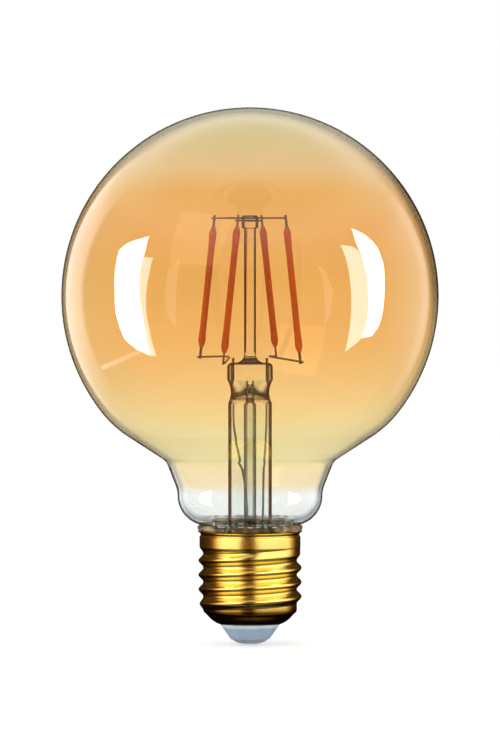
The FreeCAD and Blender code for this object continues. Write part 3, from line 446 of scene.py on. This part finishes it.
def brass_shell(metal):
    """The cap's shell with its rolled thread in full: each ring of the wall is pushed out by the thread."""
    lip = arc_way(LIP, LIP_NECK, *LIP_BEND) + arc_way(LIP_NECK, COLLAR_TOP, *NECK_BEND)[1:]
    row_count = round((WALL_TOP_ROW - WALL_LOW_ROW) / WALL_ROW_STEP) + 1
    rows = [WALL_TOP_ROW - WALL_ROW_STEP * i for i in range(row_count)]
    foot = [KNEE] + arc_way(KNEE, MOUTH, *SHOULDER_BEND)[1:]
    inside = [
        (MOUTH[0] - SHEET / 2, MOUTH[1] + SHEET), (KNEE[0] - SHEET, KNEE[1] + SHEET / 3), *INSIDE_WALL,
        (COLLAR_TOP[0] - SHEET, COLLAR_TOP[1]), (LIP_NECK[0] - SHEET, LIP_NECK[1]),
        (LIP[0] - SHEET, LIP[1] - LIP_EDGE), LIP,
    ]
    rings = [(r, z, False) for r, z in lip] + [(wall_radius(z), z, True) for z in rows]
    rings += [(r, z, False) for r, z in foot + inside]
    vertices = []
    for radius, height, threaded in rings:
        for i in range(CAP_SEGMENTS):
            angle = 360 * i / CAP_SEGMENTS
            r = threaded_radius(radius, angle, height) if threaded else radius
            vertices.append((r * math.cos(math.radians(angle)), r * math.sin(math.radians(angle)), height))
    faces = []
    for low in range(0, (len(rings) - 1) * CAP_SEGMENTS, CAP_SEGMENTS):
        for i in range(CAP_SEGMENTS):
            j = (i + 1) % CAP_SEGMENTS
            faces.append((low + i, low + CAP_SEGMENTS + i, low + CAP_SEGMENTS + j, low + j))
    piece = mesh_object("brass_shell", vertices, faces)
    piece.data.materials.append(metal)
    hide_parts("cap_shell")
    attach(piece, "root")
    return piece


def globe_glass():
    """One wall of blown glass, turned finely enough for clean reflections. It casts no shadow."""
    outline = glass_outline(0) + glass_outline(WALL)[::-1]
    piece = lathe("globe_glass", outline, GLOBE_SEGMENTS)
    piece.data.materials.append(amber_glass())
    piece.visible_shadow = False
    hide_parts("glass_globe")
    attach(piece, "root")


def waver(here, parts):
    """Noise of several depths and scales at a point, added up."""
    return sum(depth * noise.noise(here * scale + Vector((shift, 0, 0))) for depth, scale, shift in parts)


def add_cement_body(shape):
    """The ring's closed section turned about Z, with its bead roughened."""
    rings = []
    for k, (radius, height) in enumerate(CEMENT_SECTION):
        ring = []
        for i in range(CEMENT_SEGMENTS):
            angle = FULL_TURN * i / CEMENT_SEGMENTS
            r, z = radius, height
            if k in ROUGH_POINTS:
                across, deep = math.cos(angle) * WAVER_RADIUS, math.sin(angle) * WAVER_RADIUS
                here = Vector((across, deep, k * WAVER_RISE))
                r += waver(here, WAVER_OUT)
                z += waver(here, WAVER_UP)
            ring.append(shape.verts.new((r * math.cos(angle), r * math.sin(angle), z)))
        rings.append(ring)
    for low, high in zip(rings, rings[1:] + rings[:1]):
        for i in range(CEMENT_SEGMENTS):
            j = (i + 1) % CEMENT_SEGMENTS
            shape.faces.new((low[i], low[j], high[j], high[i]))


def add_crumb(shape, rng, climbs):
    """A lump of cement on the bead or, where it climbs, against the neck's glass."""
    angle = rng.uniform(0, FULL_TURN)
    size = rng.uniform(*SMALL_CRUMB) if rng.random() < SMALL_SHARE else rng.uniform(*LARGE_CRUMB)
    if climbs:
        side, rise = rng.choice(CLIMBS)
        angle = math.radians(side + rng.uniform(-CLIMB_SPREAD, CLIMB_SPREAD))
        height = CLIMB_FOOT + rise * rng.random() ** CLIMB_POWER
        glass = NECK_RADIUS - NECK_ROUND + math.sqrt(NECK_ROUND**2 - (NECK_HEIGHT - height) ** 2)
        radius = glass + CRUMB_STAND * size
    else:
        radius = rng.uniform(*BEAD_RADII)
        height = rng.uniform(*BEAD_HEIGHTS)
    made = bmesh.ops.create_icosphere(shape, subdivisions=2, radius=size)
    offset = Vector([rng.uniform(-50, 50) for _ in range(3)])
    squash = Vector([rng.uniform(*limits) for limits in (CRUMB_WIDTH, CRUMB_WIDTH, CRUMB_FLATNESS)])
    place = Vector((radius * math.cos(angle), radius * math.sin(angle), height))
    for vertex in made["verts"]:
        push = 1 + LUMP_DEPTH * noise.noise(vertex.co * (LUMP_WAVES / size) + offset)
        vertex.co = vertex.co * push * squash + place


def cement_ring(cement):
    """The cement between neck and collar, with a rough bead and the crumbs that broke up above the lip."""
    rng = random.Random(CEMENT_SEED)
    shape = bmesh.new()
    add_cement_body(shape)
    for number in range(CRUMB_COUNT):
        add_crumb(shape, rng, climbs=number % 2 == 0)
    mesh = bpy.data.meshes.new("cement_ring")
    shape.transform(Matrix.Scale(MM, 4))
    shape.to_mesh(mesh)
    shape.free()
    piece = bpy.data.objects.new("cement_ring", mesh)
    bpy.context.scene.collection.objects.link(piece)
    piece.data.materials.append(cement)
    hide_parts("basing_cement")
    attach(piece, "root")


# Node trees


class Nodes:
    """A node tree, with short ways to add what the looks and the studio need."""

    def __init__(self, tree):
        self.tree = tree

    def add(self, kind, **settings):
        node = self.tree.nodes.new(kind)
        for key, value in settings.items():
            setattr(node, key, value)
        return node

    def feed(self, socket, value):
        """Links a socket to another one, or sets it to a number or a colour."""
        if isinstance(value, bpy.types.NodeSocket):
            self.tree.links.new(value, socket)
        elif isinstance(value, (int, float)):
            socket.default_value = value
        else:
            socket.default_value = (*value, 1.0)

    def math(self, operation, *values):
        node = self.add("ShaderNodeMath", operation=operation)
        for value, socket in zip(values, node.inputs):
            self.feed(socket, value)
        return node.outputs[0]

    def position(self):
        """Where the surface is, from the object's origin in metres."""
        return self.add("ShaderNodeTexCoord").outputs["Object"]

    def split(self, vector):
        node = self.add("ShaderNodeSeparateXYZ")
        self.feed(node.inputs[0], vector)
        return node.outputs

    def from_axis(self):
        """Distance from the bulb's axis in metres."""
        place = self.split(self.position())
        flat = self.add("ShaderNodeCombineXYZ")
        self.feed(flat.inputs["X"], place["X"])
        self.feed(flat.inputs["Y"], place["Y"])
        length = self.add("ShaderNodeVectorMath", operation="LENGTH")
        self.feed(length.inputs[0], flat.outputs[0])
        return length.outputs["Value"]

    def spread(self, value, low, high):
        """A value in metres brought to 0..1 between two limits in millimetres."""
        node = self.add("ShaderNodeMapRange")
        self.feed(node.inputs["Value"], value)
        self.feed(node.inputs["From Min"], low * MM)
        self.feed(node.inputs["From Max"], high * MM)
        return node.outputs["Result"]

    def by_height(self, low, high):
        """0 to 1 between two heights above the contact."""
        return self.spread(self.split(self.position())["Z"], low, high)

    def by_side(self, low, high):
        """0 to 1 between two distances to the right of the axis."""
        return self.spread(self.split(self.position())["X"], low, high)

    def facing(self):
        """0 where the surface faces the eye, and 1 where it is seen edge on."""
        return self.add("ShaderNodeLayerWeight").outputs["Facing"]

    def ramp(self, value, stops, interpolation="LINEAR"):
        """Colours along a value; a stop is a place and a linear colour, or one level for a grey."""
        node = self.add("ShaderNodeValToRGB")
        self.feed(node.inputs["Fac"], value)
        node.color_ramp.interpolation = interpolation
        elements = node.color_ramp.elements
        while len(elements) < len(stops):
            elements.new(0.5)
        for element, (place, colour) in zip(elements, stops):
            element.position = place
            element.color = (*(colour if isinstance(colour, tuple) else (colour,) * 3), 1.0)
        return node.outputs["Color"]

    def levels(self, value, stops):
        return self.ramp(value, stops, "EASE")

    def noise(self, scale, detail=3.0, stretch=(1, 1, 1)):
        """Noise over the object, in waves per metre."""
        mapping = self.add("ShaderNodeMapping")
        mapping.inputs["Scale"].default_value = stretch
        self.feed(mapping.inputs["Vector"], self.position())
        node = self.add("ShaderNodeTexNoise")
        self.feed(node.inputs["Vector"], mapping.outputs["Vector"])
        self.feed(node.inputs["Scale"], scale)
        self.feed(node.inputs["Detail"], detail)
        return node.outputs["Fac"]

    def mix(self, share, first, second, blend="MIX"):
        """Mixes two colours by a share."""
        node = self.add("ShaderNodeMix", data_type="RGBA", blend_type=blend)
        self.feed(node.inputs["Factor"], share)
        self.feed(node.inputs["A"], first)
        self.feed(node.inputs["B"], second)
        return node.outputs["Result"]

    def multiply(self, first, second):
        return self.mix(1.0, first, second, "MULTIPLY")

    def mix_shaders(self, share, first, second):
        node = self.add("ShaderNodeMixShader")
        for socket, value in zip(node.inputs, (share, first, second)):
            self.feed(socket, value)
        return node.outputs[0]

    def emission(self, strength, colour=(1.0, 1.0, 1.0)):
        node = self.add("ShaderNodeEmission")
        self.feed(node.inputs["Strength"], strength)
        self.feed(node.inputs["Color"], colour)
        return node.outputs[0]


class Look(Nodes):
    """A new material, with its Principled shader and its surface."""

    def __init__(self, name):
        self.material = bpy.data.materials.new(name)
        self.material.use_nodes = True
        super().__init__(self.material.node_tree)
        self.shader = self.tree.nodes["Principled BSDF"]

    def set(self, **values):
        """Feeds the shader's sockets, whose names have underscores for spaces here."""
        for name, value in values.items():
            self.feed(self.shader.inputs[name.replace("_", " ")], value)

    def surface(self, shader):
        self.feed(self.tree.nodes["Material Output"].inputs["Surface"], shader)

    def shine(self, emission):
        """Adds an emission to what is behind it, so that things it doesn't light look past it."""
        both = self.add("ShaderNodeAddShader")
        self.feed(both.inputs[0], emission)
        self.feed(both.inputs[1], self.add("ShaderNodeBsdfTransparent").outputs[0])
        self.surface(both.outputs[0])

    def bump(self, value, strength, distance):
        """Bumps the surface by a value, with the distance in millimetres."""
        node = self.add("ShaderNodeBump")
        self.feed(node.inputs["Strength"], strength)
        self.feed(node.inputs["Distance"], distance * MM)
        self.feed(node.inputs["Height"], value)
        self.set(Normal=node.outputs["Normal"])


# Materials


def srgb(code):
    """A #rrggbb colour in linear light."""
    values = [int(code[i : i + 2], 16) / 255 for i in (1, 3, 5)]
    return tuple(v / 12.92 if v <= 0.04045 else ((v + 0.055) / 1.055) ** 2.4 for v in values)


def wall_tint(colour):
    """The tint of one wall, where a view through both walls has this colour after what they mirror away."""
    return tuple(math.sqrt(min(v / CLEAR_SHARE, 1.0)) for v in colour)


def amber_glass():
    """Clear at the neck and amber from the throat up, with a painted dark line (painted shade) where the wall
    is seen edge on.
    """
    look = Look("amber_glass")
    bands = [((z - AMBER_FOOT) / (AMBER_TOP - AMBER_FOOT), wall_tint(srgb(code))) for z, code in AMBER_BANDS]
    tint = look.ramp(look.by_height(AMBER_FOOT, AMBER_TOP), bands)
    drift = look.noise(22.0, detail=2.0, stretch=(1, 1, 2.5))
    clouds = look.ramp(drift, [(0.3, (0.97, 0.96, 0.94)), (0.7, 1.0)])
    # painted shade: a dark rim along the outline, wide at the upper right, with a faint painted brightening
    # just inside it
    upper_right = look.mix(look.by_height(*WIDE_RIM_HEIGHTS), (0.0, 0.0, 0.0), look.by_side(*WIDE_RIM_SIDE))
    rim_shade = look.mix(upper_right, look.ramp(look.facing(), THIN_RIM), look.ramp(look.facing(), WIDE_RIM))
    rim_shade = look.mix(look.by_height(*PALE_RIM_HEIGHTS), rim_shade, look.ramp(look.facing(), PALE_RIM))
    rim_shade = look.mix(look.by_height(*NECK_RIM_HEIGHTS), look.ramp(look.facing(), NECK_RIM), rim_shade)
    look.set(Base_Color=look.multiply(look.multiply(tint, clouds), rim_shade))
    look.set(Roughness=0.0, IOR=1.47, Transmission_Weight=1.0)
    return look.material


def clear_glass(name, edge_of):
    """Clear glass with a painted dark outline (painted shade); edge_of gives how dark it is from the
    material's nodes.
    """
    look = Look(name)
    tint = look.ramp(look.noise(300.0), [(0.3, (0.93, 0.95, 0.93)), (0.7, (0.98, 0.98, 0.97))])
    look.set(Base_Color=tint, Roughness=0.0, IOR=1.5, Transmission_Weight=1.0, Specular_IOR_Level=0.3)
    edge_shade = look.add("ShaderNodeBsdfDiffuse")
    look.feed(edge_shade.inputs["Color"], PAINTED_EDGE_SHADE)
    look.surface(look.mix_shaders(edge_of(look), look.shader.outputs[0], edge_shade.outputs[0]))
    return look.material


def tube_edge(look):
    """The tube's painted dark line lies on its outer face only, and the press has one of its own."""
    outside = look.spread(look.from_axis(), STEM_SKIN, STEM_SKIN + 0.1)
    tube = look.mix(outside, (0.0, 0.0, 0.0), look.ramp(look.facing(), TUBE_EDGE))
    return look.mix(look.by_height(PRESS_FOOT, PRESS_FOOT + 0.4), tube, look.ramp(look.facing(), PRESS_EDGE))


def rod_edge(look):
    """The painted dark line is thinner in the rod's foot."""
    above = look.by_height(ROD_FOOT - 0.3, ROD_FOOT + 0.3)
    return look.mix(above, look.ramp(look.facing(), ROD_FOOT_EDGE), look.ramp(look.facing(), ROD_EDGE))


def exhaust_edge(look):
    return look.ramp(look.facing(), EXHAUST_EDGE)


def brass():
    """Bright brass with fine marks of the rolling round the cap, and painted shade that darkens the shoulder.
    """
    look = Look("cap_brass")
    tone = look.ramp(look.noise(220.0, detail=4.0), [(0.3, (0.93, 0.70, 0.19)), (0.7, (1.0, 0.80, 0.24))])
    # painted shade: the shoulder's brass darkened by height, where it faces down away from the light
    shoulder_shade_levels = [(0.0, (0.55, 0.38, 0.18)), (0.68, (0.45, 0.29, 0.13)), (0.92, 1.0)]
    painted_shoulder_shade = look.ramp(look.by_height(*SHOULDER_HEIGHTS), shoulder_shade_levels)
    rough = look.ramp(look.noise(900.0, stretch=(1, 1, 12)), [(0.3, 0.17), (0.7, 0.26)])
    look.set(Base_Color=look.multiply(tone, painted_shoulder_shade), Roughness=rough, Metallic=1.0)
    return look.material


def coloured(name, low, high, scale, roughness, metallic=0.0, bump=0.0, gloss=0.5):
    """A surface that wanders between two colours, with a fine bump in millimetres where one is given."""
    look = Look(name)
    grain = look.noise(scale)
    shine = look.ramp(look.noise(scale * 2.3), [(0.3, roughness * 0.85), (0.7, roughness * 1.15)])
    look.set(Base_Color=look.ramp(grain, [(0.3, low), (0.7, high)]), Roughness=shine)
    look.set(Metallic=metallic, Specular_IOR_Level=gloss)
    if bump:
        look.bump(grain, 0.6, bump)
    return look.material


def crumbly_cement():
    """A painted ochre reflection where the cement lies in the lip, and mottled grey-green on top with pale
    specks that are painted glints.
    """
    look = Look("cement")
    grain = look.noise(950.0, detail=4.0)
    # painted reflection: the ochre stands in for the brass lip's warm sheen on the cement
    ochre_reflection = [(0.38, srgb("#1f1c0c")), (0.5, srgb("#5c451a")), (0.62, srgb("#8c6d2e"))]
    low = look.ramp(look.noise(260.0), ochre_reflection)
    # the mottled grey-green is the cement's own colour; the palest stop paints pale specks as glints, a
    # painted highlight
    crumbs_and_glints = look.ramp(grain, [
        (0.36, srgb("#1f2219")), (0.5, srgb("#50574a")), (0.6, srgb("#7d8573")), (0.68, srgb("#c9cec2")),
    ])
    look.set(Base_Color=look.mix(look.by_height(*CRUMB_HEIGHTS), low, crumbs_and_glints), Roughness=0.55)
    look.bump(grain, 0.5, 0.2)
    return look.material


def insulator():
    """Blue-grey moulding with a painted paler rim (painted light) under the shell and a painted darker foot
    (painted shade) round the contact.
    """
    look = Look("insulator")
    grain = look.noise(350.0)
    body = look.ramp(grain, [(0.3, srgb("#8fa2b4")), (0.7, srgb("#9db0c0"))])
    # painted shade darkens the foot and painted light brightens the rim under the shell
    painted_rim_light_and_foot_shade = [(0.10, 0.25), (0.22, 1.0), (0.76, 1.0), (0.86, (1.75, 1.65, 1.55))]
    shade = look.ramp(look.by_height(*CONE_HEIGHTS), painted_rim_light_and_foot_shade)
    look.set(Base_Color=look.multiply(body, shade), Roughness=0.4)
    look.bump(grain, 0.6, 0.02)
    return look.material


def paint(node, material):
    """Gives a node of the frame its material in every slot."""
    slots = node.material_slots
    if not slots:
        node.data.materials.append(material)
    for slot in slots:
        slot.material = material


def dress_frame(nodes, metal, cement):
    """Gives every node of the frame its material."""
    wire = coloured("wire_metal", (0.075, 0.032, 0.004), (0.12, 0.060, 0.010), 400.0, 0.45, metallic=0.6)
    strip = coloured("strip_metal", (0.07, 0.03, 0.015), (0.12, 0.055, 0.025), 500.0, 0.35, metallic=1.0)
    coat = coloured("phosphor_coat", (0.33, 0.068, 0.0), (0.43, 0.096, 0.0), 700.0, 0.6, bump=0.03, gloss=0.0)
    package = coloured("black_package", srgb("#16171a"), srgb("#202226"), 500.0, 0.5, bump=0.02)
    contact = coloured("contact_metal", (0.34, 0.39, 0.45), (0.42, 0.47, 0.52), 500.0, 0.45, metallic=0.25)
    dressing = {
        "stem_tube": clear_glass("stem_glass", tube_edge),
        "support_rod": clear_glass("rod_glass", rod_edge),
        "exhaust_tube": clear_glass("exhaust_glass", exhaust_edge),
        "cap_shell": metal,
        "cap_insulator": insulator(),
        "centre_contact": contact,
        "basing_cement": cement,
        "driver_board": coloured("board", srgb("#1d5a34"), srgb("#276a40"), 300.0, 0.4),
        "smoothing_capacitor": coloured("capacitor_sleeve", srgb("#15171d"), srgb("#20242c"), 300.0, 0.3),
        "fuse_resistor": coloured("resistor_coat", srgb("#5c6b48"), srgb("#6d7c55"), 500.0, 0.6, bump=0.03),
        "bridge_rectifier": package,
        "driver_chip": package,
        "shell_wire": wire,
        "top_wire_high": wire,
        "top_wire_low": wire,
    }
    for side in ("left", "right"):
        dressing[f"lead_wire_{side}"] = wire
        dressing[f"foot_wire_{side}"] = wire
    for number in range(1, 5):
        dressing[f"filament_{number}_strip"] = strip
        dressing[f"filament_{number}_coat"] = coat
    for name, material in dressing.items():
        paint(nodes[name], material)


# Studio


def camera():
    data = bpy.data.cameras.new("camera")
    data.sensor_width = SENSOR
    data.lens = SENSOR * CAMERA_DISTANCE / (FRAME_HEIGHT * MM_PER_PIXEL)
    data.clip_end = CAMERA_REACH * MM
    eye = bpy.data.objects.new("camera", data)
    bpy.context.scene.collection.objects.link(eye)
    pitch = math.radians(CAMERA_PITCH)
    target = Vector((0.0, 0.0, (FOOT_ROW - FRAME_HEIGHT / 2) * MM_PER_PIXEL * MM))
    eye.location = target + Vector((0.0, -math.cos(pitch), math.sin(pitch))) * CAMERA_DISTANCE * MM
    eye.rotation_euler = (math.pi / 2 - pitch, 0.0, 0.0)
    bpy.context.scene.camera = eye


def studio_world():
    """White to camera, glossy and transmission rays, and a plain fill for everything else."""
    world = bpy.data.worlds.new("studio")
    bpy.context.scene.world = world
    world.use_nodes = True
    nodes = Nodes(world.node_tree)
    path = nodes.add("ShaderNodeLightPath").outputs
    seen = nodes.math("MAXIMUM", path["Is Camera Ray"], path["Is Glossy Ray"])
    seen = nodes.math("MAXIMUM", seen, path["Is Transmission Ray"])
    background = nodes.tree.nodes["Background"]
    nodes.feed(background.inputs["Strength"], nodes.math("MULTIPLY_ADD", seen, 1.0 - WORLD_FILL, WORLD_FILL))
    nodes.feed(background.inputs["Color"], (1.0, 1.0, 1.0))


def directions(nodes):
    """Which way a point lies from the object's origin: round from behind by the left, and up."""
    unit = nodes.add("ShaderNodeVectorMath", operation="NORMALIZE")
    nodes.feed(unit.inputs[0], nodes.position())
    way = nodes.split(unit.outputs[0])
    turn = nodes.math("ARCTAN2", way["X"], nodes.math("MULTIPLY", way["Y"], -1.0))
    turn = nodes.math("MULTIPLY_ADD", turn, 0.5 / math.pi, 0.5)
    return turn, nodes.math("MULTIPLY_ADD", way["Z"], 0.5, 0.5)


def only_in_reflections(thing):
    thing.visible_camera = False
    thing.visible_diffuse = False
    thing.visible_transmission = False
    thing.visible_volume_scatter = False
    thing.visible_shadow = False


def light_link(light, objects, state="EXCLUDE"):
    """These objects aren't lit by the light and don't mirror it, or with INCLUDE they alone are."""
    group = bpy.data.collections.new(f"receivers_{light.name}")
    for thing in objects:
        group.objects.link(thing)
    light.light_linking.receiver_collection = group
    for entry in group.collection_objects:
        entry.light_linking.link_state = state


def sphere(name, radius, height):
    side = arc_points((0, 0), radius, WALLS_END, -WALLS_END, WALLS_STEP)
    walls = lathe(name, [(0.0, radius), *side, (0.0, -radius)], WALLS_SEGMENTS)
    walls.location.z = height * MM
    return walls


def studio_walls(unlit):
    """What the glass mirrors: white behind the bulb and above, dark at the sides and behind the camera."""
    walls = sphere("studio_walls", STUDIO_WALL_RADIUS, GLOBE_HEIGHT)
    look = Look("studio_walls")
    turn, rise = directions(look)
    around = look.math("MULTIPLY", look.levels(turn, WALL_LEVELS), look.levels(rise, WALL_HEIGHT_LEVELS))
    look.surface(look.emission(look.math("ADD", around, look.levels(rise, TOP_RING_LEVELS))))
    walls.data.materials.append(look.material)
    only_in_reflections(walls)
    light_link(walls, unlit)


def mirrored_card(name, strength, outline, cap):
    """A lit card whose mirror image fills an outline on the globe for the photograph's camera."""
    eye = bpy.context.scene.camera.location / MM
    middle = Vector((0.0, 0.0, GLOBE_HEIGHT))
    corners = []
    for x, z in outline:
        way = (middle + Vector((x, 0.0, z)) - eye).normalized()
        back = (middle - eye).dot(way)
        depth = math.sqrt(GLOBE_RADIUS**2 - (middle - eye - way * back).length_squared)
        spot = eye + way * (back - depth)
        normal = (spot - middle) / GLOBE_RADIUS
        corners.append(spot + (way - 2 * way.dot(normal) * normal) * CARD_DISTANCE)
    card = mesh_object(name, corners, [tuple(range(len(corners)))], smooth=False)
    look = Look(name)
    look.shine(look.emission(strength))
    card.data.materials.append(look.material)
    only_in_reflections(card)
    light_link(card, [cap])


def cap_walls(cap):
    """What the brass mirrors: warm panels left and right, a gap in front and dark all round the back."""
    walls = sphere("cap_walls", CAP_WALL_RADIUS, CAP_WALL_HEIGHT)
    look = Look("cap_walls")
    turn, rise = directions(look)
    colour = look.ramp(turn, [(0.5 + degrees / 360, colour) for degrees, colour in CAP_LIGHT])
    gap = look.math("MULTIPLY", look.levels(turn, GAP_ROUND), look.levels(rise, GAP_LEVELS))
    open_share = look.math("MULTIPLY_ADD", gap, -1.0, 1.0)
    look.shine(look.emission(look.math("MULTIPLY", open_share, look.levels(rise, CAP_LEVELS)), colour))
    walls.data.materials.append(look.material)
    only_in_reflections(walls)
    light_link(walls, [cap], "INCLUDE")


def floor():
    """A plain pale floor that takes the bulb's shadow, and is as white as the studio through glass."""
    corners = [(FLOOR_REACH * x, FLOOR_REACH * y, 0) for x, y in ((-1, -1), (1, -1), (1, 1), (-1, 1))]
    piece = mesh_object("floor", corners, [(0, 1, 2, 3)])
    piece.location.z = -FLOOR_DROP * MM
    look = Look("floor")
    look.set(Base_Color=FLOOR_GREY, Roughness=0.9)
    look.set(Emission_Color=(1.0, 1.0, 1.0), Emission_Strength=FLOOR_GLOW)
    path = look.add("ShaderNodeLightPath").outputs
    look.surface(look.mix_shaders(path["Is Transmission Ray"], look.shader.outputs[0], look.emission(1.0)))
    piece.data.materials.append(look.material)
    piece.visible_glossy = False


def key_lamp():
    """A square lamp from the upper left, which the glass doesn't mirror."""
    data = bpy.data.lights.new("key", "AREA")
    data.shape = "RECTANGLE"
    side = KEY_SIDE * MM
    data.size = side
    data.size_y = side
    data.energy = KEY_RADIANCE * side**2 * math.pi
    lamp = bpy.data.objects.new("key", data)
    bpy.context.scene.collection.objects.link(lamp)
    place = Vector(KEY_PLACE) * MM
    lamp.location = place
    lamp.rotation_euler = (Vector(KEY_TARGET) * MM - place).to_track_quat("-Z", "Y").to_euler()
    lamp.visible_camera = False
    lamp.visible_glossy = False


def main():
    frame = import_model()
    view = bpy.context.scene.view_settings
    view.view_transform = "Standard"
    camera()
    studio_world()
    floor()
    metal = brass()
    cement = crumbly_cement()
    shell = brass_shell(metal)
    cement_ring(cement)
    for name, (strength, outline) in MIRRORED_CARDS.items():
        mirrored_card(name, strength, outline, shell)
    key_lamp()
    studio_walls([shell] + [frame["nodes"][name] for name in ("stem_tube", "exhaust_tube", "support_rod")])
    cap_walls(shell)
    globe_glass()
    dress_frame(frame["nodes"], metal, cement)


main()
